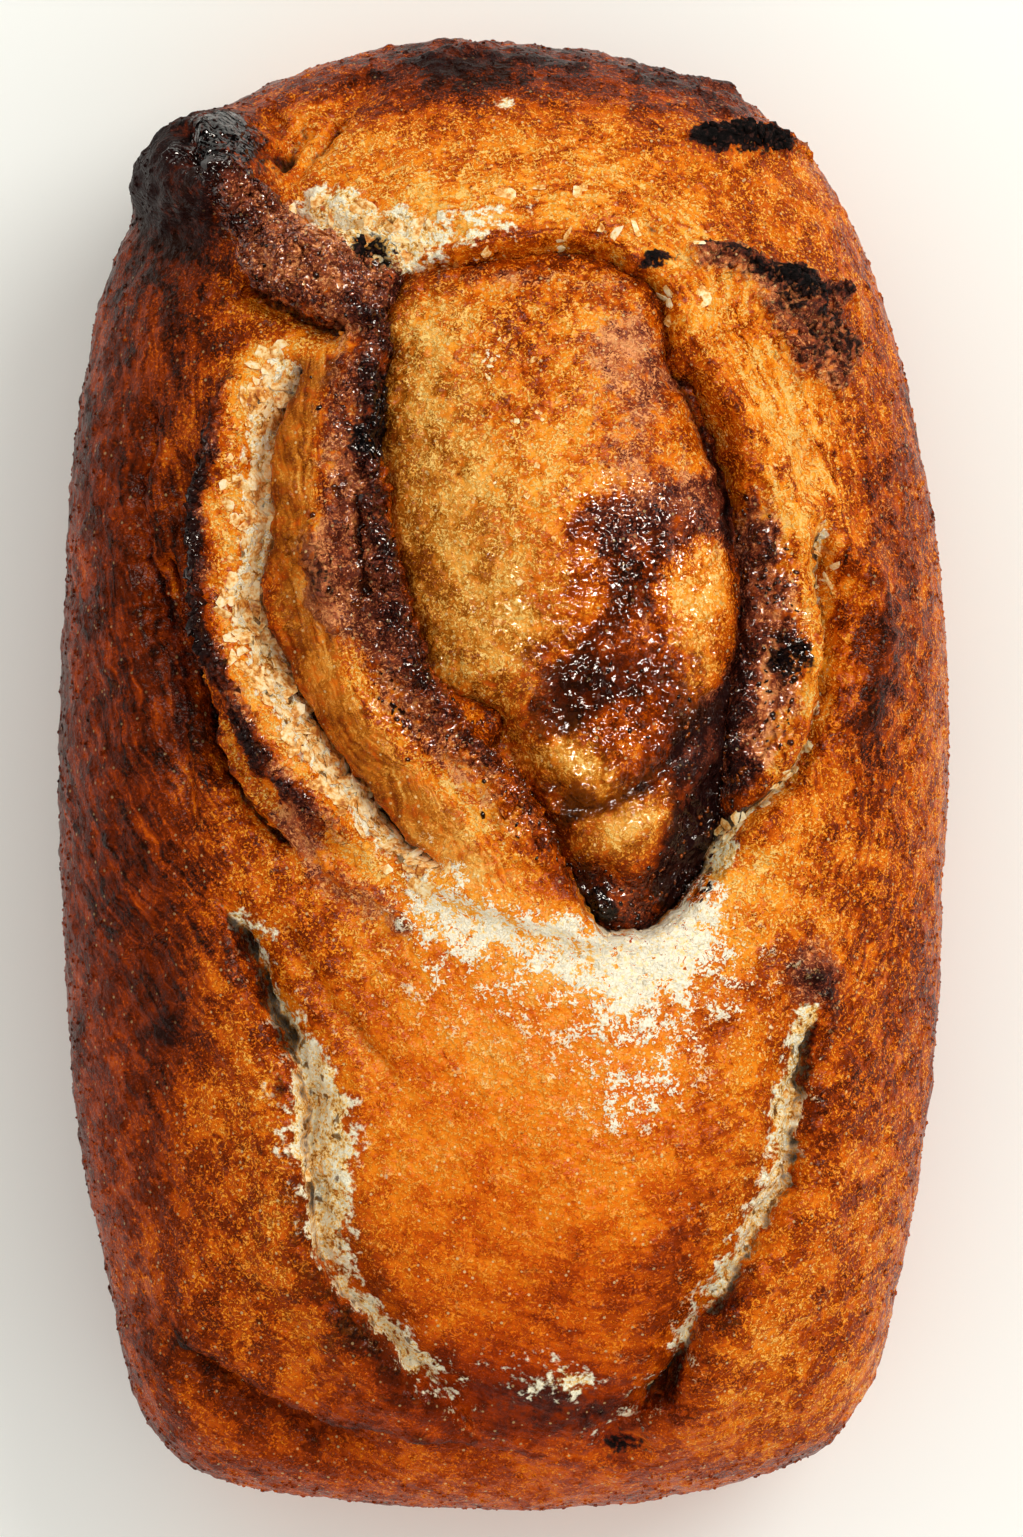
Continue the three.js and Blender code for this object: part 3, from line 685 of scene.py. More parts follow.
        (0.9, on(RIM_LEFT, 1, 4, start=0.02, end=0.3, power=2)),
        (0.8, at([-28.5, 32.5], [3.6, 7], 20, power=2)),
        (1.0, on(OUTER_CHAR, 1.2, 1.8, power=2)),
        (0.6, BURNT_LUMPS),
        (0.8, TOP_CINDER),
        (0.12, at([-42, 99], [5, 5], power=2)),
    ],
    "fibre": [
        (1.0, on(GOLDEN_COLLAR, 7, 8, start=0.05, end=0.05, power=2)),
        (0.8, on(UPPER_EDGE, 16, 2, start=0.02, end=0.02, power=2)),
        (0.8, on(LEFT_FLAP, 6, 6, start=0.05, end=0.05)),
        (0.6, at([-55, 10], [14, 60], power=2)),
        (0.5, at([58, 0], [10, 70], power=2)),
    ],
}

HEART_RELIEF = [
    (5, at([12, 38], [20, 36], -8)),
    (-1.5, on(HEART_FOLD, 1.6, 1.1, start=0.15, end=0.15)),
    (1.6, at([17, -10], [10, 5])),
    (1.2, at([14, 2], [9, 6], 20)),
    (-4.0, at([1.5, 2.5], [3.2, 4.5], 40)),
    (-3.0, within(PIT, 2.0)),
    (1.6, PIT_LUMP),
    (-0.5, on(HEART_CREASE, 0.9, 1.4)),
    (-0.5, on(LOWER_CREASE, 0.9, 1.4)),
    (-0.8, at([-4, 63], [1.8, 3.6])),
    (0.6, on(SYRUP_ARC, 2.0)),
    (0.5, on(SYRUP_TRAIL, 4.5)),
    (-2.6, on(RIGHT_GAP, 1.6, 1.8, start=0.1, end=0.3)),
    (-1.2, within(WET_WALL, 2.0)),
]
HEART_PAINT = {
    "bake": [
        (-0.04, at([16, 62], [15, 15], power=1.5)),
        (0.02, at([18.5, 63], [7, 10])),
        (0.10, at([4, 80], [22, 4])),
        (0.06, at([22, 20], [14, 25], -8, power=1.5)),
        (0.10, at([12, 2], [12, 16], power=1.5)),
        (0.10, at([16, 28], [8, 10], power=1.5)),
        (0.17, within(STAIN, 0.8)),
        (0.08, within(UPPER_GLAZE, 1.0)),
        (0.08, within(LOWER_GLAZE, 1.0)),
        (0.24, PIT_FLOOR),
        (0.26, WET_SIDE),
        (-0.24, at([30.5, 28], [5, 9], -8, power=2)),
        (-0.14, at([19, 21], [4, 3], 30, power=2)),
        (-0.20, at([12, 1], [7, 4], -30, power=2)),
        (-0.18, at([19, -9], [8, 2.6], 25, power=2)),
        (0.26, on(HEART_FOLD, 1.5, 1.2, power=2)),
        (0.16, at([24, -15], [9, 4])),
        (-0.16, at([8, 47], [5, 14], -12)),
        (0.10, at([-12, 48], [10, 26], 8)),
        (0.04, at([4, 66], [12, 10])),
        (0.18, at([36, 42], [3, 16], 5)),
        (0.20, at([-13, 33], [2.4, 3.2], 40, power=2)),
        (0.18, at([-6, 20], [5, 2], 10)),
        (0.14, at([0, 14], [3, 2])),
        (0.16, at([5, 20], [3, 1.8])),
        (0.14, at([-9, 27], [3, 1.6], -20)),
    ],
    "purple": [
        (0.8, at([19, 63], [8, 12], power=1.5)),
        (0.35, within(STAIN, 1.2)),
        (0.45, at([25, 43], [14, 8], -10, power=2)),
        (0.5, PIT_FLOOR),
        (0.8, WET_SIDE),
        (0.5, on(RIGHT_GAP, 4, 3, start=0.1, end=0.3)),
        (0.5, at([6, 79], [20, 4])),
    ],
    "glaze": [
        (1.0, at([24, 38], [15, 7], -14, power=2)),
        (1.0, at([19, 22], [10, 18], power=2)),
        (0.8, at([31, 20], [7, 16], power=2)),
        (0.9, at([14, 0], [16, 10], power=2)),
        (1.0, PIT_FLOOR),
        (0.6, at([-11, 17], [4, 6], 20)),
        (0.5, at([2, 26], [12, 10])),
    ],
    "amber": [
        (0.4, at([18, 8], [18, 18], power=2)),
        (0.4, at([8, 34], [8, 18])),
        (0.3, at([18, -10], [12, 7])),
    ],
    "tan": [
        (0.9, at([-14, 50], [14, 34], 8)),
        (0.7, at([-4, 24], [14, 16], 20)),
        (0.6, at([31, 16], [5, 10])),
        (0.9, at([12, 0], [9, 6], -20)),
        (0.9, at([19, -9], [10, 5], 25)),
    ],
    "fibre": [(0.6, at([6, 70], [30, 14]))],
    "shreds": [(0.5, at([-1.5, 64.5], [2.2, 3])), (0.25, at([2, 40], [5, 22], -8))],
    "beads": [
        (1.0, PIT_FLOOR),
        (0.4, within(UPPER_GLAZE, 1)),
        (0.5, within(LOWER_GLAZE, 1)),
        (0.8, within(WET_WALL, 1)),
    ],
    "blisters": [(0.5, at([8, 56], [30, 30], power=2))],
    "char": [(0.5, at([33, -3], [3, 8], 25)), (1.0, PIT_CINDER)],
    # Painted shade in the pit and in the gap along the heart's right.
    "painted_shade": [
        (0.7, at([1.5, 2], [2, 3], 40)),
        (0.35, within(PIT, 2)),
        (1.0, on(RIGHT_GAP, 1.6, 1.4, start=0.1, end=0.3)),
    ],
    "crumb": [],
    "flour": [(0.35, at([-1.5, 64.5], [2, 3]))],
}
MASKS = ["bake", "purple", "char", "crumb", "flour", "glaze", "amber", "tan", "fibre", "painted_shade"]
STREWN = ["shreds", "beads", "blisters", "scabs"]  # where small solids lie


# ---- the smooth body -------------------------------------------------------------------------------
def radius_by_angle(points):
    """A closed line round the origin, as a function that gives its radius at an angle."""
    angle = np.arctan2(points[:, 1], points[:, 0])
    radius = np.hypot(points[:, 0], points[:, 1])
    return lambda wanted: np.interp(wanted, angle, radius, period=2 * math.pi)


outline_radius = radius_by_angle(OUTLINE.points[:-1] / [HALF_WIDTH, HALF_LENGTH])


def bend(u, v):
    """A square of -1 to 1, bent to a rounded square."""
    return u * np.sqrt(1 - SQUARENESS * v * v / 2), v * np.sqrt(1 - SQUARENESS * u * u / 2)


BORDER_STEPS = 400
border_side = np.linspace(-1, 1, BORDER_STEPS, endpoint=False)
border_end = np.ones(BORDER_STEPS)
border = [bend(border_end, border_side), bend(-border_end, -border_side)]
border += [bend(-border_side, border_end), bend(border_side, -border_end)]
square_radius = radius_by_angle(np.hstack(border).T)


def crown(rho):
    """The body's height over a share of the way from its middle to its outline."""
    rise = (1 - np.minimum(rho, 1) ** CROWN_POWER) ** (1 / SHOULDER_POWER)
    return WIDEST_HEIGHT + (CROWN_HEIGHT - WIDEST_HEIGHT) * rise


def body_height(x, y):
    across, along = x / HALF_WIDTH, y / HALF_LENGTH
    return crown(np.hypot(across, along) / outline_radius(np.arctan2(along, across)))


def reach_by_share(share):
    """How far out each share of the top's quads reaches."""
    rho = np.sin(np.linspace(0, math.pi / 2, 400))
    run = np.diff(rho) * (HALF_WIDTH + HALF_LENGTH) / 2
    fall = np.diff(crown(rho))
    length = np.concatenate([[0], np.cumsum(np.hypot(run, fall))])
    mixed = EVEN_SHARE * rho + (1 - EVEN_SHARE) * length / length[-1]
    return np.interp(share, mixed, rho)


def top_grid():
    """Places on the plan, from a square grid drawn out to the loaf's outline, as rows of columns."""
    u, v = np.meshgrid(np.linspace(-1, 1, QUADS_ACROSS + 1), np.linspace(-1, 1, QUADS_ALONG + 1))
    a, b = bend(u, v)
    angle = np.arctan2(b, a)
    share = np.minimum(np.hypot(a, b) / square_radius(angle), 1)
    reach = reach_by_share(share) * outline_radius(angle)
    return reach * np.cos(angle) * HALF_WIDTH, reach * np.sin(angle) * HALF_LENGTH


def grid_outward(grid):
    """Outward directions of a grid of points, shaped rows, columns, 3."""
    east = np.concatenate([grid[:, 1:], grid[:, -1:]], axis=1)
    west = np.concatenate([grid[:, :1], grid[:, :-1]], axis=1)
    north = np.concatenate([grid[1:], grid[-1:]], axis=0)
    south = np.concatenate([grid[:1], grid[:-1]], axis=0)
    way = np.cross(east - west, north - south)
    return way / np.linalg.norm(way, axis=2, keepdims=True)


def foot_inset(z):
    lean = FOOT_INSET * (1 - z / WIDEST_HEIGHT) ** 2
    rise = max(1 - z / FOOT_RADIUS, 0)
    return lean + FOOT_RADIUS * (1 - math.sqrt(1 - rise * rise))


# ---- relief and paint on the body ------------------------------------------------------------------
CRUST_BAKE, HEART_BAKE = 0.50, 0.34
# The left flank is darker partly by its bake and partly as painted shade on the side away from the light.
LEFT_DARKER_AND_SHADED, RIGHT_DARKER = 0.21, 0.08  # the flanks
ENDS_DARKER = 0.10
TONGUE_END_PALER = 0.02
SIDE_PALER, BASE_PALER = 0.10, 0.12
HEART_RIGHT_DARKER = 0.10
EDGE_DARKER = 0.14  # where the heart goes down into its collar
# How the paint comes and goes, each as its strength, its size, its octaves and its seed.
CRUST_SHADES = (0.05, 22, 3, 40)
HEART_SHADES = (0.06, 14, 3, 70)
HEART_SHADE_WANDER = (5, 9, 1, 71)
LARGE_PATCHES = (0.35, 11, 1, 80)
SMALL_PATCHES = (0.25, 4, 1, 81)


def lumps(rest, height, size, octaves, seed):
    return height * fractal(rest, size, octaves, seed)


def heart_inside(surface):
    """How far inside the heart's edge a place is, in millimetres, and the way inwards."""
    distance, _, leftwards = surface.find(HEART_EDGE)
    return np.where(distance == FAR, -FAR, -distance), -leftwards


def crust_shade(surface):
    """How dark the crust is in general: darkest on the left flank, by bake and painted shade, paler at the
    foot and below.
    """
    x, y, z = surface.rest.T
    shade = CRUST_BAKE + RIGHT_DARKER * smooth(35, 66, x) + LEFT_DARKER_AND_SHADED * smooth(-36, -60, x)
    shade -= TONGUE_END_PALER * smooth(-80, -105, y)
    shade += ENDS_DARKER * smooth(100, 118, np.abs(y)) * surface.share
    shade += lumps(surface.rest, *CRUST_SHADES)
    side = 1 - smooth(4, WIDEST_HEIGHT, z)
    shade -= SIDE_PALER * side * smooth(2, 10, z)
    return np.where(surface.share > 0, shade, shade - BASE_PALER)


STEADY = ["painted_shade", "crumb", "purple", "char", "shreds", "scabs"]  # masks whose edges follow the relief's
PATCHY = ["crumb", "flour", "glaze", "char", "purple"]  # masks that come and go in patches
SIDE_AMBER = 0.6  # the sides are this much more golden, and smoother, than the top
WALL_SHADE = 1.2  # on the wall down to the heart


def painted(surface, marks, shade):
    """Every mask at every point. Marks fade down the side with the relief."""
    fade = np.sqrt(np.clip(surface.share, 0, 1))
    ragged = surface.wandering(PAINT_WANDER)
    masks = {}
    for name in MASKS + STREWN:
        places = surface if name in STEADY else ragged
        masks[name] = fade * total(places, marks.get(name) or [(0, everywhere)])
    patchy = 1 + lumps(surface.rest, *LARGE_PATCHES) + lumps(surface.rest, *SMALL_PATCHES)
    for name in PATCHY:
        masks[name] = masks[name] * patchy
    masks["bake"] = masks["bake"] + shade
    inside, _ = heart_inside(surface)
    if marks is PAINT:
        masks["painted_shade"] += WALL_SHADE * smooth(-1.8, -0.4, inside)
        masks["amber"] += SIDE_AMBER * (1 - fade)
    return {name: np.clip(value, 0, 1) for name, value in masks.items()}


# Fine relief, each kind as its height, its size, its octaves and its seed.
SWELLS = (0.55, 26, 2, 20)
DIMPLES = (0.28, 8, 1, 23)
WRINKLES = (0.22, 3.2, 1, 24)
FINE_WRINKLES = (0.15, 1.5, 1, 25)
TORN_CRUMB = (0.54, 2.6, 3, 30)
CHAR_LUMPS = (0.6, 4.2, 3, 33)
FOLD_LUMPS = (1.6, 3.8, 4, 36)
KNOB_WANDER = (1.2, 3, 1, 17)
SYRUP_LUMPS = (1.2, 4.5, 4, 38)
HEART_SWELLS = (0.45, 14, 2, 60)
HEART_DIMPLES = (0.16, 4, 1, 62)
HEART_WRINKLES = (0.10, 1.7, 1, 63)
HEART_GRAIN = (0.06, 0.9, 1, 64)
HEART_SYRUP_LUMPS = (0.45, 3.4, 3, 66)
# Round bumps, each kind as its height, its spacing, its radius as a share of that, and its seed.
BLISTERS = (0.34, 2.9, 0.42, 3)
CRUMB_PORES = (0.66, 1.9, 0.5, 5)
FOLD_KNOBS = (2.2, 4.6, 0.66, 16)
SYRUP_BUBBLES = (0.8, 2.2, 0.6, 8)
HEART_PORES = (0.35, 2.2, 0.3, 12)
HEART_BUBBLES = (0.35, 1.4, 0.5, 14)
HORN_CALM = 0.7  # of the knobs on the purple folds, this share is missing on the horn
LARGE_SCALE, SMALL_SCALE = 0.34, 0.24
SCALY = 0.3  # the share of the scales that is everywhere


def bumps(rest, height, spacing, radius, seed):
    """Round bumps at scattered centres, and each one's own number of -1 to 1."""
    near, number = cells(rest, spacing, seed)
    return height * np.clip(1 - (near / radius) ** 2, 0, 1), number


def scales(rest, masks):
    """Thin skin that has lifted in small scales with crisp edges, most where the dough was stretched."""
    skin = LARGE_SCALE * smooth(0.0, 0.12, noise(rest, 3.2, seed=90))
    skin = skin + SMALL_SCALE * smooth(0.05, 0.16, noise(rest, 1.7, seed=91))
    return np.clip(masks["fibre"] + masks["tan"] + SCALY, 0, 1) * (1 - masks["glaze"]) * skin


def crust_relief(surface, masks):
    """Heights along the outward way: the folds, the well for the heart, and the fine relief."""
    rest = surface.rest
    inside, _ = heart_inside(surface)
    well = smooth(-HEART_GAP, 0.5, inside)
    on_top = 1 - well
    height = (total(surface, FOLDS) + total(surface, CREASES)) * on_top - WELL_DEPTH * well
    height *= surface.share
    height += lumps(rest, *SWELLS) + lumps(rest, *DIMPLES)
    height += on_top * lumps(rest, *WRINKLES)
    height += on_top * lumps(rest, *FINE_WRINKLES)
    blister, number = bumps(rest, *BLISTERS)
    blister = blister * smooth(0.1, 0.5, number)  # only the higher numbers' blisters have risen
    height += on_top * blister * (1 - masks["crumb"]) * (1 - masks["flour"])
    height += masks["crumb"] * (lumps(rest, *TORN_CRUMB) - bumps(rest, *CRUMB_PORES)[0])
    height += masks["char"] * lumps(rest, *CHAR_LUMPS)
    knobs = bumps(rest + lumps(rest, *KNOB_WANDER)[:, None], *FOLD_KNOBS)[0]
    height += masks["purple"] ** 2 * (1 - HORN_CALM * HORN(surface)) * (knobs + lumps(rest, *FOLD_LUMPS))
    height += on_top * masks["glaze"] * (bumps(rest, *SYRUP_BUBBLES)[0] + lumps(rest, *SYRUP_LUMPS))
    height += on_top * scales(rest, masks)
    return height


def heart_relief(surface, masks):
    """Heights along the outward way: the round heart in its collar, its folds and its fine relief."""
    rest = surface.rest
    x, y, _ = rest.T
    inside, _ = heart_inside(surface)
    left = 1 - np.clip(inside / HEART_SHOULDER, 0, 1)
    drop = HEART_DROP + HEART_DROP_RIGHT * smooth(14, 32, x) * smooth(74, 50, y)
    drop += HEART_DROP_FOOT * smooth(4, -8, y)
    height = (HEART_CREST + drop) * np.sqrt(1 - left * left) - drop
    height += total(surface, HEART_RELIEF) * smooth(-4, 3, inside)
    height += HEART_WALL_SLOPE * np.clip(inside, -HEART_WALL_REACH, 0)
    height += lumps(rest, *HEART_SWELLS) + lumps(rest, *HEART_DIMPLES)
    height += lumps(rest, *HEART_WRINKLES) + lumps(rest, *HEART_GRAIN)
    pore, number = bumps(rest, *HEART_PORES)
    height -= pore * (number > 0.3) * (1 - masks["glaze"])
    bubble, number = bumps(rest, *HEART_BUBBLES)
    height += masks["glaze"] * bubble * smooth(-0.4, 0.4, number)
    height += masks["glaze"] * lumps(rest, *HEART_SYRUP_LUMPS)
    height += scales(rest, masks)
    return height


RIDGE_SMOOTHING = 50 if FINE else 12
RIDGE_BAKE = 0.09  # how much darker for each millimetre above its neighbours
HOLLOW_SHADE = 0.8
CRUMB_LIGHTER = 0.8  # the share of it that torn crumb goes without


def hollows(height, rows, columns):
    """How far each point of a grid lies below its neighbours' mean height, in millimetres."""
    grid = height[:rows * columns].reshape(rows, columns)
    mean = grid
    for _ in range(RIDGE_SMOOTHING):
        wide = np.pad(mean, 1, mode="edge")
        mean = (wide[:-2, 1:-1] + wide[2:, 1:-1] + wide[1:-1, :-2] + wide[1:-1, 2:] + 4 * mean) / 8
    depth = np.zeros(len(height))
    depth[:rows * columns] = (mean - grid).ravel()
    return depth


def darkened(masks, depth):
    """Bakes the ridges darker and shades the hollows."""
    masks["bake"] = np.clip(masks["bake"] + RIDGE_BAKE * np.clip(-depth, -0.5, 2), 0, 1)
    shaded = HOLLOW_SHADE * smooth(0.5, 2.4, depth) * (1 - CRUMB_LIGHTER * masks["crumb"])
    masks["painted_shade"] = np.clip(masks["painted_shade"] + shaded, 0, 1)


def crust_lean(surface):
    """How far the lips hang over their tears and over the heart, on the plan."""
    inside, inwards = heart_inside(surface)
    lip = LIP_LEAN * smooth(-9, LIP_AT, inside) * (1 - smooth(LIP_AT, 0.2, inside))
    lip -= UNDERCUT * smooth(-0.8, 0.5, inside) * (1 - smooth(1.5, 5, inside))
    way = lip[:, None] * inwards
    for lean, line, offset, width in LEANING_LIPS:
        distance, share, leftwards = surface.find(line)
        fade = smooth(0, FADE, share) * smooth(0, FADE, 1 - share)
        amount = lean * fade * np.exp(-(((distance - offset) / width) ** 2))
        way += amount[:, None] * leftwards
    return np.column_stack([way, np.zeros(len(way))]) * surface.share[:, None]


HEART_MEAN_RADIUS = 41.0


def flow(surface):
    """Coordinates that run with the dough's stretch: round the heart, and out from it."""
    distance, share, _ = surface.find(HEART_EDGE)
    angle = 2 * math.pi * share
    near = np.abs(distance) < FAR
    x, y, z = surface.rest.T
    return np.column_stack([
        np.where(near, HEART_MEAN_RADIUS * np.cos(angle), x),
        np.where(near, HEART_MEAN_RADIUS * np.sin(angle), y),
        np.where(near, distance, z),
    ])


# ---- meshes ----------------------------------------------------------------------------------------
def new_object(name, vertices, faces, masks=None, flows=None):
    """A smooth-shaded mesh object, from millimetres, with its masks as point attributes."""
    sizes = np.array([len(face) for face in faces])
    corners = np.concatenate(faces)
    mesh = bpy.data.meshes.new(name)
    mesh.vertices.add(len(vertices))
    mesh.vertices.foreach_set("co", (vertices * MM).astype(np.float32).ravel())
    mesh.loops.add(len(corners))
    mesh.loops.foreach_set("vertex_index", corners.astype(np.int32))
    mesh.polygons.add(len(sizes))
    mesh.polygons.foreach_set("loop_start", np.concatenate([[0], np.cumsum(sizes)[:-1]]).astype(np.int32))
    mesh.polygons.foreach_set("use_smooth", np.ones(len(sizes), bool))
    mesh.update(calc_edges=True)
    mesh.validate()
    for mask, values in (masks or {}).items():
        layer = mesh.attributes.new(mask, "FLOAT", "POINT")
        layer.data.foreach_set("value", values.astype(np.float32))
    if flows is not None:
        layer = mesh.attributes.new("flow", "FLOAT_VECTOR", "POINT")
        layer.data.foreach_set("vector", flows.astype(np.float32).ravel())
    piece = bpy.data.objects.new(name, mesh)
    bpy.context.scene.collection.objects.link(piece)
    return piece


def made_plain(piece):
    """Turns the piece's modifiers into plain mesh."""
    graph = bpy.context.evaluated_depsgraph_get()
    mesh = bpy.data.meshes.new_from_object(piece.evaluated_get(graph))
    piece.modifiers.clear()
    piece.data = mesh
    return piece


def thinned(piece, triangles):
    """Fewer triangles where the surface is smooth."""
    piece.data.calc_loop_triangles()
    modifier = piece.modifiers.new("thin", "DECIMATE")
    modifier.ratio = min(1, triangles / len(piece.data.loop_triangles))
    return made_plain(piece)


def grid_faces(rows, columns):
    first = (np.arange(rows - 1)[:, None] * columns + np.arange(columns - 1)).ravel()
    return list(np.column_stack([first, first + 1, first + columns + 1, first + columns]))


def border_ring(rows, columns):
    """The points along a grid's border, anticlockwise."""
    index = np.arange(rows * columns).reshape(rows, columns)
    return np.concatenate([index[0, :-1], index[:-1, -1], index[-1, :0:-1], index[:0:-1, 0]])


def band(upper, lower):
    """Quads between two rings of points."""
    return list(np.column_stack([upper, lower, np.roll(lower, -1), np.roll(upper, -1)]))


def fan(ring, middle):
    """Triangles from a ring of points to its middle."""
    return list(np.column_stack([ring, np.full(len(ring), middle), np.roll(ring, -1)]))


SIDE_ROWS = 22
FOOT_HEIGHTS = [4.6, 3.2, 2.0, 1.0, 0.3, 0]
SIDE_HEIGHTS = np.append(np.linspace(WIDEST_HEIGHT, FOOT_RADIUS, SIDE_ROWS)[1:], FOOT_HEIGHTS)
BASE_SHARES = [0.985, 0.96, 0.92, 0.86, 0.78, 0.68, 0.56, 0.42, 0.28, 0.14]
BASE_HOLLOWS = (0.5, 7, 1, 50)
DEEPEST_BASE_HOLLOW = 1
FOOT_CALM = 3  # below this height the relief runs out
LEAST_RELIEF = 0.001  # the share of it that stays


def crust_surface(grid, ring):
    """The smooth crust: the top's grid, rows down the sides, rows in over the base and its middle."""
    rest = grid.reshape(-1, 3)
    outward = grid_outward(grid).reshape(-1, 3)
    along = rest[np.roll(ring, -1)] - rest[np.roll(ring, 1)]
    ring_out = np.column_stack([along[:, 1], -along[:, 0], np.zeros(len(ring))])
    ring_out /= np.linalg.norm(ring_out, axis=1, keepdims=True)
    outward[ring] = ring_out

    parts = [(rest, rest[:, :2], outward, np.ones(len(rest)))]
    for z in SIDE_HEIGHTS:
        row = rest[ring] - ring_out * foot_inset(z)
        row[:, 2] = z
        parts.append((row, rest[ring, :2], ring_out, np.full(len(ring), z / WIDEST_HEIGHT)))
    foot = parts[-1][0]
    down = np.array([[0, 0, -1.0]])
    for share in BASE_SHARES:
        row = foot * share
        parts.append((row, row[:, :2], np.repeat(down, len(ring), axis=0), np.zeros(len(ring))))
    parts.append((np.zeros((1, 3)), np.zeros((1, 2)), down, np.zeros(1)))
    return Surface(*(np.concatenate(part) for part in zip(*parts)), FOLD_WANDER)


def crust_faces(rows, columns, ring):
    faces = grid_faces(rows, columns)
    count = rows * columns
    upper = ring
    for _ in range(len(SIDE_HEIGHTS) + len(BASE_SHARES)):
        lower = np.arange(count, count + len(ring))
        faces += band(upper, lower)
        upper = lower
        count += len(ring)
    return faces + fan(upper, count)


def make_crust():
    """The crust: the top with its relief and the heart's well, the sides and the base."""
    x, y = top_grid()
    rows, columns = x.shape
    ring = border_ring(rows, columns)
    surface = crust_surface(np.dstack([x, y, body_height(x, y)]), ring)
    masks = painted(surface, PAINT, crust_shade(surface))
    height = crust_relief(surface, masks)
    darkened(masks, hollows(height, rows, columns))
    height *= smooth(0, FOOT_CALM, surface.rest[:, 2]) * (1 - LEAST_RELIEF) + LEAST_RELIEF
    places = surface.rest + surface.outward * height[:, None] + crust_lean(surface)
    horn = HORN_HEIGHT * HORN(surface) * surface.share
    places += horn[:, None] * HORN_LEAN
    under = surface.share == 0
    places[under, 2] = np.clip(lumps(surface.rest[under], *BASE_HOLLOWS), 0, DEEPEST_BASE_HOLLOW)
    places[:, 2] = np.maximum(places[:, 2], 0)
    crust = new_object("crust", places, crust_faces(rows, columns, ring), masks, flow(surface))
    return thinned(crust, CRUST_TRIANGLES)


HEART_MARGIN = 6  # from the heart's edge to the border of its grid
HEART_FLOW = (2.5, 1, 1)  # its skin is streaked lengthwise


def make_heart():
    """The domed heart, whose sides go down inside the crust, closed by a flat underside."""
    low = HEART_EDGE.points.min(axis=0) - HEART_MARGIN
    high = HEART_EDGE.points.max(axis=0) + HEART_MARGIN
    columns, rows = np.round((high - low) / HEART_SPACING).astype(int) + 1
    x, y = np.meshgrid(np.linspace(low[0], high[0], columns), np.linspace(low[1], high[1], rows))
    grid = np.dstack([x, y, body_height(x, y)])
    rest = grid.reshape(-1, 3)
    surface = Surface(rest, rest[:, :2], grid_outward(grid).reshape(-1, 3), np.ones(len(rest)), FOLD_WANDER)
    masks = painted(surface, HEART_PAINT, heart_shade(surface))
    height = heart_relief(surface, masks)
    darkened(masks, hollows(height, rows, columns))
    places = rest + surface.outward * height[:, None]

    ring = border_ring(rows, columns)
    under = places[ring].copy()
    under[:, 2] = WIDEST_HEIGHT
    middle = np.append(under[:, :2].mean(axis=0), WIDEST_HEIGHT)
    lower = np.arange(len(ring)) + len(places)
    faces = grid_faces(rows, columns) + band(ring, lower) + fan(lower, len(places) + len(ring))
    hidden = len(ring) + 1
    masks = {name: np.append(value, np.zeros(hidden)) for name, value in masks.items()}
    flows = np.vstack([rest * HEART_FLOW, np.zeros((hidden, 3))])
    return new_object("heart", np.vstack([places, under, middle]), faces, masks, flows)


def heart_shade(surface):
    """How dark the heart is baked in general: paler on its left, darker along its edge."""
    inside, _ = heart_inside(surface)
    x = surface.rest[:, 0] + lumps(surface.rest, *HEART_SHADE_WANDER)
    shade = HEART_BAKE + HEART_RIGHT_DARKER * smooth(-12, 16, x)
    shade += lumps(surface.rest, *HEART_SHADES)
    return shade + EDGE_DARKER * (1 - smooth(0, 5, inside))


# ---- material maths --------------------------------------------------------------------------------
class Value:
    """A number that varies over a surface. Sums and products with it add the Math nodes."""

    def __init__(self, paint, socket):
        self.paint, self.socket = paint, socket

    def maths(self, operation, *others):
        node = self.paint.node("ShaderNodeMath", {"operation": operation}, [self, *others])
        return Value(self.paint, node.outputs[0])

    def __add__(self, other):
        return self.maths("ADD", other)

    def __sub__(self, other):
        return self.maths("SUBTRACT", other)

    def __rsub__(self, other):
        return (self * -1) + other

    def __mul__(self, other):
        return self.maths("MULTIPLY", other)

    __radd__ = __add__
    __rmul__ = __mul__

    def held(self):
        return self.maths("MINIMUM", 1).maths("MAXIMUM", 0)

    def smooth(self, low, high):
        """0 below low and 1 above high, or the other way round where low is the higher."""
        settings = {"interpolation_type": "SMOOTHSTEP"}
        inputs = {"Value": self, "From Min": low, "From Max": high}
        return Value(self.paint, self.paint.node("ShaderNodeMapRange", settings, inputs).outputs["Result"])


class Nodes:
    """The nodes of one tree."""

    def __init__(self, tree):
        self.tree = tree

    def set(self, socket, value):
        if isinstance(value, Value):
            value = value.socket
        if isinstance(value, bpy.types.NodeSocket):
            self.tree.links.new(value, socket)
        else:
            socket.default_value = value

    def node(self, kind, settings=None, inputs=None):
        node = self.tree.nodes.new(kind)
        for name, value in (settings or {}).items():
            setattr(node, name, value)
        named = inputs.items() if isinstance(inputs, dict) else enumerate(inputs or [])
        for key, value in named:
            self.set(node.inputs[key], value)
        return node

    def vectors(self, operation, first, second):
        """Two vectors, added, subtracted or multiplied."""
        return self.node("ShaderNodeVectorMath", {"operation": operation}, [first, second]).outputs[0]

    def scaled(self, vector, factor):
        node = self.node("ShaderNodeVectorMath", {"operation": "SCALE"}, {0: vector, "Scale": factor})
        return node.outputs[0]


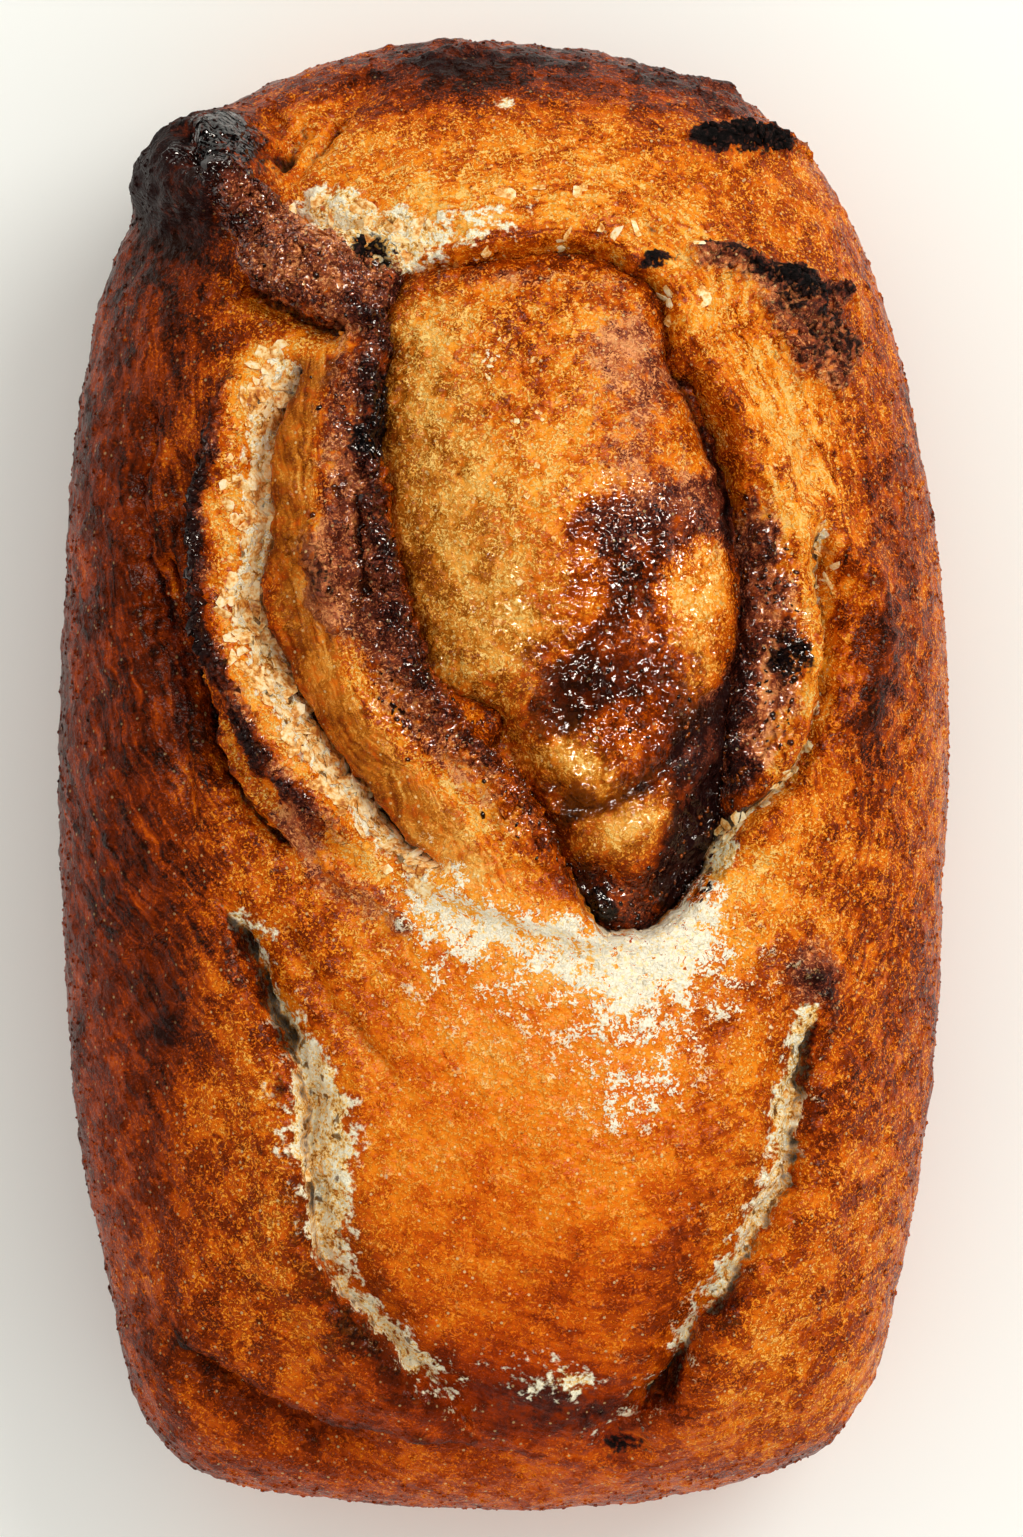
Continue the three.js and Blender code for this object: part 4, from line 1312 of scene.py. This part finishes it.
class Paint(Nodes):
    """A material's nodes."""

    def __init__(self, name):
        self.material = bpy.data.materials.new(name)
        self.material.use_nodes = True
        super().__init__(self.material.node_tree)
        self.shader = self.tree.nodes["Principled BSDF"]

    def mask(self, name):
        node = self.node("ShaderNodeAttribute", {"attribute_name": name, "attribute_type": "GEOMETRY"})
        return Value(self, node.outputs["Fac"])

    def places(self):
        """The object's own coordinates in millimetres."""
        coordinates = self.node("ShaderNodeTexCoord").outputs["Object"]
        return self.vectors("MULTIPLY", coordinates, (1 / MM,) * 3)

    def noise(self, places, size, detail=3.0, rough=0.55, distortion=0.0):
        inputs = {"Vector": places, "Scale": 1 / size, "Detail": detail, "Roughness": rough}
        node = self.node("ShaderNodeTexNoise", None, {**inputs, "Distortion": distortion})
        return Value(self, node.outputs["Fac"])

    def swing(self, places, *noise):
        """A noise that swings about 0."""
        return self.noise(places, *noise) - 0.5

    def contour(self, places, *noise):
        """0 along the curled middle lines of a noise, and more away from them."""
        return self.swing(places, *noise).maths("ABSOLUTE")

    def dots(self, places, size):
        """The distance to scattered centres as a share of size, and each centre's own number of 0 to 1."""
        node = self.node("ShaderNodeTexVoronoi", None, {"Vector": places, "Scale": 1 / size})
        own = self.node("ShaderNodeSeparateColor", None, [node.outputs["Color"]])
        return Value(self, node.outputs["Distance"]), Value(self, own.outputs[0])

    def ramp(self, value, stops):
        node = self.node("ShaderNodeValToRGB", None, [value])
        elements = node.color_ramp.elements
        for _ in range(len(stops) - 2):
            elements.new(0.5)
        for element, (place, colour) in zip(elements, stops):
            element.position = place
            element.color = colour
        return node.outputs["Color"]

    def mixed(self, factor, first, second, blend="MIX"):
        settings = {"data_type": "RGBA", "blend_type": blend}
        node = self.node("ShaderNodeMix", settings, {0: factor, 6: first, 7: second})
        return node.outputs[2]

    def bump(self, height, distance, normal=None):
        inputs = {"Height": height, "Distance": distance * MM, "Strength": 1.0}
        if normal:
            inputs["Normal"] = normal
        return self.node("ShaderNodeBump", None, inputs).outputs["Normal"]


def tone(red, green, blue):
    """A colour from its 0 to 255 values."""
    parts = [part / 255 for part in (red, green, blue)]
    linear = [part / 12.92 if part <= 0.04045 else ((part + 0.055) / 1.055) ** 2.4 for part in parts]
    return (*linear, 1.0)


CRUST_STOPS = [
    (0.0, tone(252, 202, 112)),
    (0.2, tone(248, 160, 42)),
    (0.38, tone(234, 126, 16)),
    (0.52, tone(202, 86, 4)),
    (0.66, tone(152, 54, 2)),
    (0.8, tone(104, 33, 1)),
    (1.0, tone(40, 14, 4)),
]
TAN_STOPS = [
    (0.1, tone(252, 206, 116)),
    (0.3, tone(234, 168, 70)),
    (0.5, tone(198, 122, 28)),
    (0.75, tone(130, 62, 6)),
]
PURPLE_STOPS = [
    (0.25, tone(236, 152, 96)),
    (0.45, tone(170, 92, 58)),
    (0.65, tone(104, 48, 34)),
    (0.9, tone(36, 15, 14)),
]
FLOUR_STOPS = [(0.1, tone(240, 160, 60)), (0.4, tone(255, 222, 146)), (0.8, tone(255, 248, 222))]
CRUMB_STOPS = [
    (0.3, tone(160, 98, 34)),
    (0.42, tone(240, 182, 92)),
    (0.52, tone(255, 222, 154)),
    (0.66, tone(255, 246, 214)),
]
CHAR_STOPS = [(0.4, tone(7, 4, 4)), (0.55, tone(19, 11, 11)), (0.7, tone(66, 36, 28))]
# Painted shade, multiplied over the colour: from none to the darkest, in the cracks and holes.
PAINTED_SHADE_STOPS = [
    (0.0, tone(255, 255, 255)),
    (0.35, tone(214, 150, 84)),
    (0.7, tone(120, 62, 24)),
    (1.0, tone(36, 14, 4)),
]
SYRUP_STOPS = [(0.4, tone(30, 10, 5)), (0.55, tone(70, 26, 8)), (0.68, tone(150, 70, 14))]
SHRED_STOPS = [
    (0.42, tone(255, 238, 196)),
    (0.52, tone(250, 214, 146)),
    (0.6, tone(232, 158, 66)),
    (0.7, tone(176, 92, 26)),
]


# The noises in the crust's paint, each as its size in millimetres, its detail, its roughness and its
# distortion.
BROAD_GRAIN = (11, 3)
MIDDLE_GRAIN = (3.0, 3)
FINE_GRAIN = (1.0, 2)
TINY_GRAIN = (0.5, 1)
PEBBLES = (1.2, 0.5)
STREAKS = (1.2, 2, 0.6)
BLOTCHES = (5, 3, 0.62)
CURLS = (1.3, 2, 0.5, 1.2)
SMALL_CURLS = (0.75, 2, 0.5, 1.0)
DARK_CURLS = (1.7, 2, 0.5, 1.0)
WET_SWELLS = (4, 1)
STREAK_STRETCH = (0.25, 0.25, 1.5)
DOT_SPACING, HOLE_SPACING = 1.5, 2.6
# How much the noises fray each mask's edge, and over which values it comes in.
EDGES = {
    "tan": (0.9, 0.1, 0.9), "purple": (0.8, 0.3, 0.8), "char": (0.8, 0.4, 0.75), "painted_shade": (0.4, 0.2, 1.1),
    "glaze": (0.7, 0.3, 0.6),
}
# How fully each paint covers what lies under it.
COVER = {"amber": 0.6, "tan": 0.75, "purple": 0.85, "flour": 0.94, "pores": 0.6, "holes": 0.8, "painted_shade": 0.95}
AMBER_TONE = tone(255, 196, 84)
# Painted shade in the pores and holes, and pale specks painted bright as glints, a painted highlight.
PORE_SHADE_TONE, HOLE_SHADE_TONE, GLINT_SPECK_TONE = tone(62, 26, 10), tone(92, 52, 22), tone(255, 214, 146)
SKIN_IOR, SYRUP_IOR = 1.15, 1.5
SKIN_ROUGHNESS, CHAR_ROUGHER, SYRUP_ROUGHNESS = 0.26, 0.6, 0.12


class CrustPaint(Paint):
    """The crust's paint: the mesh's masks, and the noises about 0 that break them up."""

    def __init__(self, name):
        super().__init__(name)
        self.masks = {mask: self.mask(mask) for mask in MASKS}
        self.spot = self.places()
        self.broad, self.middle, self.fine, self.tiny, self.pebbles = [
            self.swing(self.spot, *grain)
            for grain in (BROAD_GRAIN, MIDDLE_GRAIN, FINE_GRAIN, TINY_GRAIN, PEBBLES)
        ]
        flowing = self.node("ShaderNodeAttribute", {"attribute_name": "flow"}).outputs["Vector"]
        self.streaks = self.swing(self.vectors("MULTIPLY", flowing, STREAK_STRETCH), *STREAKS)
        self.blotch = self.noise(self.spot, *BLOTCHES).smooth(0.46, 0.54) - 0.5
        self.ragged = self.middle * 1.5 + self.fine * 1.6

        # Short curled lines where the skin of the crust has lifted.
        # They are painted paler, partly as the lifted skin's own colour and partly as painted highlight on
        # their lit rims.
        where = (self.middle * 1.5 + self.tiny * 2.0).smooth(-0.1, 0.12)
        self.raised_curls = self.contour(self.spot, *CURLS).smooth(0.1, 0.03) * where
        where = (self.fine + self.tiny).smooth(-0.04, 0.1)
        small_curls = self.contour(self.spot, *SMALL_CURLS).smooth(0.09, 0.03) * where
        self.lit_curls = self.raised_curls + small_curls * 0.8
        where = (self.fine * 2 - self.middle).smooth(0.0, 0.3)
        self.dark_curls = self.contour(self.spot, *DARK_CURLS).smooth(0.06, 0.01) * where

        self.lively = (1.15 - self.masks["amber"] * 0.5 - self.masks["bake"] * 0.9).held()
        patches = self.middle * 1.5 + self.fine * 0.9 + self.streaks * 0.5 + self.tiny * 0.2
        patches = patches + self.lit_curls * 0.12
        flour = (self.masks["flour"] + patches - self.dark_curls * 0.9).smooth(0.35, 0.62)
        self.flour = flour * (self.masks["flour"] * 4).held()
        self.crumb = (self.masks["crumb"] + self.middle * 1.3 + self.fine * 0.7).smooth(0.4, 0.62)

    def edged(self, name):
        """A mask with its ragged edge."""
        ragged, low, high = EDGES[name]
        return (self.masks[name] + self.ragged * ragged).smooth(low, high)

    def level(self):
        """How darkly every spot is baked, from 0 to 1."""
        calm = (1.1 - self.masks["amber"] * 0.7).held()
        coarse = (self.blotch * 0.17 + self.middle * 0.44) * calm
        # Paler along the curled lines: partly painted highlight.
        detail = self.fine * 0.42 + self.tiny * 0.26 - self.lit_curls * 0.46 + self.dark_curls * 0.2
        level = self.masks["bake"] + self.broad * 0.4 + coarse + 0.12
        level = level + detail * self.lively
        return (level + self.streaks * (self.masks["fibre"] + 0.3)).held()

    def baked(self):
        """Golden to dark brown, with its amber, tan and purple-brown places."""
        level = self.level()
        colour = self.ramp(level, CRUST_STOPS)
        amber = (self.masks["amber"] * 0.8 + self.ragged * 0.3).smooth(0.25, 0.85)
        colour = self.mixed(amber * COVER["amber"], colour, AMBER_TONE, "MULTIPLY")
        tan = self.edged("tan")
        colour = self.mixed(tan * COVER["tan"], colour, self.ramp(level, TAN_STOPS))
        purple = self.edged("purple")
        return self.mixed(purple * COVER["purple"], colour, self.ramp(level, PURPLE_STOPS))

    def floured(self, colour):
        caked = self.flour * 0.6 + self.fine + self.tiny + 0.2
        return self.mixed(self.flour * COVER["flour"], colour, self.ramp(caked, FLOUR_STOPS))

    def torn(self, colour):
        """With the pale crumb in the tears."""
        mottle = self.middle * 0.8 + self.fine * 0.8 + self.tiny * 0.4
        mottle = mottle - self.dark_curls * 0.2 + self.lit_curls * 0.06 + 0.53
        return self.mixed(self.crumb, colour, self.ramp(mottle, CRUMB_STOPS))

    def pitted(self, colour):
        """With painted shade in pores and crumb holes, and pale specks of painted highlight where the crust
        is light.
        """
        dot, own = self.dots(self.spot, DOT_SPACING)
        pores = dot.smooth(0.2, 0.08) * own.smooth(0.6, 0.7) * (1 - self.flour)
        colour = self.mixed(pores * COVER["pores"], colour, PORE_SHADE_TONE)
        hole, hole_own = self.dots(self.spot, HOLE_SPACING)
        holes = (hole + self.ragged * 0.4).smooth(0.36, 0.2) * hole_own.smooth(0.5, 0.55) * self.crumb
        colour = self.mixed(holes * COVER["holes"], colour, HOLE_SHADE_TONE)
        # Pale specks: small blisters painted bright as their glints, a painted highlight.
        specks = dot.smooth(0.2, 0.12) * own.smooth(0.5, 0.6) * (1 - self.crumb)
        return self.mixed(specks * (1.2 - self.masks["bake"] * 1.3).held(), colour, GLINT_SPECK_TONE)

    def burnt(self, colour):
        """With the char, and painted shade in the folds, cracks and holes."""
        char = self.edged("char")
        colour = self.mixed(char, colour, self.ramp(self.fine + 0.5, CHAR_STOPS))
        painted_shade = self.edged("painted_shade")
        return self.mixed(painted_shade * COVER["painted_shade"], colour, self.ramp(painted_shade, PAINTED_SHADE_STOPS), "MULTIPLY")

    def normals(self):
        """The bump of the dry skin and the rounder one of the syrup."""
        skin = self.middle * 1.1 + self.pebbles * (self.lively * 0.55 + 0.1)
        skin = skin + self.streaks * (self.masks["fibre"] * 0.4 + 0.1) + self.tiny * 0.1
        syrup = self.noise(self.spot, *WET_SWELLS) * 2.0 + self.pebbles * 1.1
        return self.bump(skin + self.raised_curls * 0.12, 1.0), self.bump(syrup, 1.0)


def crust_material(name):
    """Baked crust, from pale torn crumb to black char, with syrup run over it."""
    paint = CrustPaint(name)
    colour = paint.burnt(paint.pitted(paint.torn(paint.floured(paint.baked()))))
    skin_normal, syrup_normal = paint.normals()
    skin_roughness = paint.masks["char"] * CHAR_ROUGHER + SKIN_ROUGHNESS
    syrup = paint.node("ShaderNodeBsdfPrincipled")
    for shader, normal, ior, roughness in (
        (paint.shader, skin_normal, SKIN_IOR, skin_roughness),
        (syrup, syrup_normal, SYRUP_IOR, SYRUP_ROUGHNESS),
    ):
        paint.set(shader.inputs["Base Color"], colour)
        paint.set(shader.inputs["Normal"], normal)
        paint.set(shader.inputs["IOR"], ior)
        paint.set(shader.inputs["Roughness"], roughness)
    wet = paint.edged("glaze") * (1 - paint.crumb) * (paint.masks["glaze"] * 4).held()
    blend = paint.node("ShaderNodeMixShader", None, [wet, paint.shader.outputs[0], syrup.outputs[0]])
    paint.set(paint.tree.nodes["Material Output"].inputs["Surface"], blend.outputs[0])
    return paint.material


def syrup_material():
    """Dark syrup that has run out and set."""
    paint = Paint("set_syrup")
    thick = paint.noise(paint.places(), 5, 2)
    paint.set(paint.shader.inputs["Base Color"], paint.ramp(thick, SYRUP_STOPS))
    paint.set(paint.shader.inputs["Roughness"], 0.1)
    paint.set(paint.shader.inputs["Specular IOR Level"], 0.6)
    return paint.material


def flake_material():
    """Torn shreds of crumb: cream, with toasted ones among them."""
    paint = Paint("torn_crumb")
    spot = paint.places()
    toast = paint.noise(spot, 3.5, 3) * 0.6 + paint.noise(spot, 0.7, 2) * 0.5
    paint.set(paint.shader.inputs["Base Color"], paint.ramp(toast, SHRED_STOPS))
    paint.set(paint.shader.inputs["Roughness"], 0.6)
    paint.set(paint.shader.inputs["Specular IOR Level"], 0.15)
    return paint.material


# ---- small things strewn over the crust --------------------------------------------------------------
STREWN_INPUTS = {
    "Geometry": "NodeSocketGeometry", "Density": "NodeSocketFloat", "Smallest": "NodeSocketVector",
    "Largest": "NodeSocketVector", "Tilt": "NodeSocketFloat", "Lift": "NodeSocketFloat",
    "Roughness": "NodeSocketFloat", "Seed": "NodeSocketInt", "Material": "NodeSocketMaterial",
    "Soft": "NodeSocketBool",
}
SHAPES = 4
SIZE_SEED, TURN_SEED, SHAPE_SEED = 1, 2, 3
SHAPE_LUMPS = 1.7  # so many lumps of noise bend each shape
SHAPE_STEP = 7.3  # from one shape's noise to the next one's


def small_shapes(nodes, given):
    """A few balls, each bent in its own way, as instances to pick from."""
    shapes = nodes.node("GeometryNodeJoinGeometry")
    for number in range(SHAPES):
        ball = nodes.node("GeometryNodeMeshIcoSphere", None, {"Radius": 0.5, "Subdivisions": 1})
        place = nodes.node("GeometryNodeInputPosition").outputs[0]
        moved = nodes.vectors("ADD", place, (SHAPE_STEP * number, 0, 0))
        bent = nodes.node("ShaderNodeTexNoise", None, {"Vector": moved, "Scale": SHAPE_LUMPS})
        centred = nodes.vectors("SUBTRACT", bent.outputs["Color"], (0.5,) * 3)
        shape = nodes.node("GeometryNodeSetPosition", None, {
            "Geometry": ball.outputs[0], "Offset": nodes.scaled(centred, given["Roughness"]),
        })
        soft = nodes.node("GeometryNodeSetShadeSmooth", None, {
            "Geometry": shape.outputs[0], "Shade Smooth": given["Soft"],
        })
        alone = nodes.node("GeometryNodeGeometryToInstance", None, {"Geometry": soft.outputs[0]})
        nodes.set(shapes.inputs[0], alone.outputs[0])
    return shapes.outputs[0]


def strewing_tree(name, mask):
    """Small solids on a mesh, more of them where its mask is high."""
    tree = bpy.data.node_groups.new(name, "GeometryNodeTree")
    nodes = Nodes(tree)
    for socket, kind in STREWN_INPUTS.items():
        tree.interface.new_socket(socket, in_out="INPUT", socket_type=kind)
    tree.interface.new_socket("Geometry", in_out="OUTPUT", socket_type="NodeSocketGeometry")
    given = nodes.node("NodeGroupInput").outputs

    amount = nodes.node("GeometryNodeInputNamedAttribute", {"data_type": "FLOAT"}, {"Name": mask})
    density = nodes.node("ShaderNodeMath", {"operation": "MULTIPLY"}, [amount.outputs[0], given["Density"]])
    points = nodes.node("GeometryNodeDistributePointsOnFaces", None, {
        "Mesh": given["Geometry"], "Density": density.outputs[0], "Seed": given["Seed"],
    })
    lifted = nodes.node("GeometryNodeSetPosition", None, {
        "Geometry": points.outputs[0], "Offset": nodes.scaled(points.outputs["Normal"], given["Lift"]),
    })

    size = nodes.node("FunctionNodeRandomValue", {"data_type": "FLOAT_VECTOR"}, {
        0: given["Smallest"], 1: given["Largest"], "Seed": SIZE_SEED,
    })
    tilt = nodes.node("ShaderNodeCombineXYZ", None, [given["Tilt"], given["Tilt"], math.pi])
    turn = nodes.node("FunctionNodeRandomValue", {"data_type": "FLOAT_VECTOR"}, {
        0: nodes.scaled(tilt.outputs[0], -1), 1: tilt.outputs[0], "Seed": TURN_SEED,
    })
    turned = nodes.node("FunctionNodeRotateRotation", {"rotation_space": "LOCAL"}, [
        points.outputs["Rotation"], turn.outputs[0],
    ])
    which = nodes.node("FunctionNodeRandomValue", {"data_type": "INT"}, {
        4: 0, 5: SHAPES - 1, "Seed": SHAPE_SEED,
    })
    placed = nodes.node("GeometryNodeInstanceOnPoints", None, {
        "Points": lifted.outputs[0], "Instance": small_shapes(nodes, given), "Pick Instance": True,
        "Instance Index": which.outputs[2], "Rotation": turned.outputs[0], "Scale": size.outputs[0],
    })
    solid = nodes.node("GeometryNodeRealizeInstances", None, [placed.outputs[0]])
    painted_mesh = nodes.node("GeometryNodeSetMaterial", None, {
        "Geometry": solid.outputs[0], "Material": given["Material"],
    })
    nodes.node("NodeGroupOutput", None, [painted_mesh.outputs[0]])
    return tree


class Strewing:
    """How things lie strewn: how many to a square millimetre, and their sizes and lift in millimetres."""

    def __init__(self, density, smallest, largest, tilt, roughness, seed, lift=0.0):
        self.inputs = {
            "Density": density / MM**2, "Smallest": [part * MM for part in smallest],
            "Largest": [part * MM for part in largest], "Tilt": tilt, "Lift": lift * MM,
            "Roughness": roughness, "Seed": seed,
        }


def strewn(name, host, mask, material, strewing, soft=True):
    """A piece of many small solids on the host, thickest where its mask is high."""
    piece = bpy.data.objects.new(name, host.data.copy())
    bpy.context.scene.collection.objects.link(piece)
    tree = strewing_tree(name, mask)
    modifier = piece.modifiers.new(name, "NODES")
    modifier.node_group = tree
    values = {**strewing.inputs, "Material": material, "Soft": soft}
    for item in tree.interface.items_tree:
        if item.in_out == "INPUT" and item.name in values:
            modifier[item.identifier] = values[item.name]
    return dressed(made_plain(piece), material)


def dressed(piece, material):
    """Gives the piece its material and lets it ride with the loaf."""
    piece.data.materials.clear()
    piece.data.materials.append(material)
    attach(piece, "root")
    return piece


# ---- the camera, the floor and the light -----------------------------------------------------------
IMAGE_HEIGHT = 1537  # pixels
VIEW_DISTANCE = 1466  # from the camera to the loaf's widest line
PIXELS_PER_MM = 6.075  # at that line
PICTURE_MIDDLE = (1.15, 0.9)
SENSOR = 36


def make_camera():
    lens = bpy.data.cameras.new("camera")
    lens.sensor_width = SENSOR
    lens.lens = SENSOR * VIEW_DISTANCE / (IMAGE_HEIGHT / PIXELS_PER_MM)
    lens.clip_start, lens.clip_end = 0.01, 100
    camera = bpy.data.objects.new("camera", lens)
    camera.location = [part * MM for part in (*PICTURE_MIDDLE, VIEW_DISTANCE + WIDEST_HEIGHT)]
    bpy.context.scene.collection.objects.link(camera)
    bpy.context.scene.camera = camera


FLOOR_HALF = 6000
FLOOR_SHADES = (260, 2)
FLOOR_STOPS = [(0.3, tone(246, 247, 240)), (0.7, tone(250, 251, 246))]


def make_floor():
    corners = FLOOR_HALF * np.array([[-1.0, -1, 0], [1, -1, 0], [1, 1, 0], [-1, 1, 0]])
    floor = new_object("floor", corners, [[0, 1, 2, 3]])
    paint = Paint("cream_floor")
    colour = paint.ramp(paint.noise(paint.places(), *FLOOR_SHADES), FLOOR_STOPS)
    paint.set(paint.shader.inputs["Base Color"], colour)
    paint.set(paint.shader.inputs["Roughness"], 0.9)
    paint.set(paint.shader.inputs["Specular IOR Level"], 0.1)
    floor.data.materials.append(paint.material)


def make_lamp(name, place, size, power, colour):
    light = bpy.data.lights.new(name, "AREA")
    light.shape = "DISK"
    light.size = size * MM
    light.energy = power
    light.color = colour
    lamp = bpy.data.objects.new(name, light)
    lamp.location = [part * MM for part in place]
    way = -lamp.location
    lamp.rotation_euler = way.to_track_quat("-Z", "Y").to_euler()
    bpy.context.scene.collection.objects.link(lamp)
    return lamp


def make_light():
    key = make_lamp("key", (620, 520, 900), 700, 5.6, (1.0, 0.99, 0.98))
    key.visible_glossy = False  # the two glints stand for it on the shiny places
    glints = (("right_glint", (380, 420, 1150), 420, 22), ("left_glint", (-260, 480, 1200), 260, 9))
    for name, place, size, power in glints:
        glint = make_lamp(name, place, size, power, (1.0, 0.93, 0.82))
        glint.visible_diffuse = False  # it only gives the wet places their glints
    world = bpy.data.worlds.new("studio")
    world.use_nodes = True
    background = world.node_tree.nodes["Background"]
    background.inputs["Color"].default_value = tone(255, 254, 251)
    background.inputs["Strength"].default_value = 0.86
    world.cycles_visibility.glossy = False  # a soft fill with no haze on the crust
    bpy.context.scene.world = world
    bpy.context.scene.view_settings.view_transform = "Standard"


# ---- assembly --------------------------------------------------------------------------------------
baked_crust = crust_material("baked_crust")
set_syrup = syrup_material()
torn_crumb = flake_material()
crust = dressed(make_crust(), baked_crust)
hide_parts("loaf")
heart = dressed(make_heart(), crust_material("heart_skin"))

shreds = Strewing(0.45, (1.4, 0.9, 0.12), (4.4, 2.8, 0.4), tilt=0.4, lift=0.05, roughness=1.3, seed=3)
flakes = Strewing(0.3, (0.4, 0.3, 0.12), (1.8, 1.3, 0.3), tilt=0.4, lift=0.1, roughness=1.3, seed=4)
beads = Strewing(0.25, (0.4, 0.4, 0.2), (1.6, 1.3, 0.7), tilt=0.2, roughness=0.3, seed=5)
heart_beads = Strewing(0.2, (0.4, 0.4, 0.2), (1.4, 1.2, 0.6), tilt=0.2, roughness=0.3, seed=6)
blisters = Strewing(0.125, (0.4, 0.3, 0.2), (1.2, 0.9, 0.6), tilt=0.3, roughness=0.5, seed=7)
scabs = Strewing(0.5, (1.0, 0.8, 0.6), (3.6, 2.4, 2.0), tilt=0.6, roughness=1.1, seed=8)

strewn("crumb_shreds", crust, "shreds", torn_crumb, shreds, soft=False)
strewn("heart_flakes", heart, "shreds", torn_crumb, flakes, soft=False)
strewn("syrup_beads", crust, "beads", set_syrup, beads)
strewn("heart_beads", heart, "beads", set_syrup, heart_beads)
strewn("blisters", crust, "blisters", baked_crust, blisters)
strewn("scabs", crust, "scabs", baked_crust, scabs)

make_floor()
make_light()
make_camera()
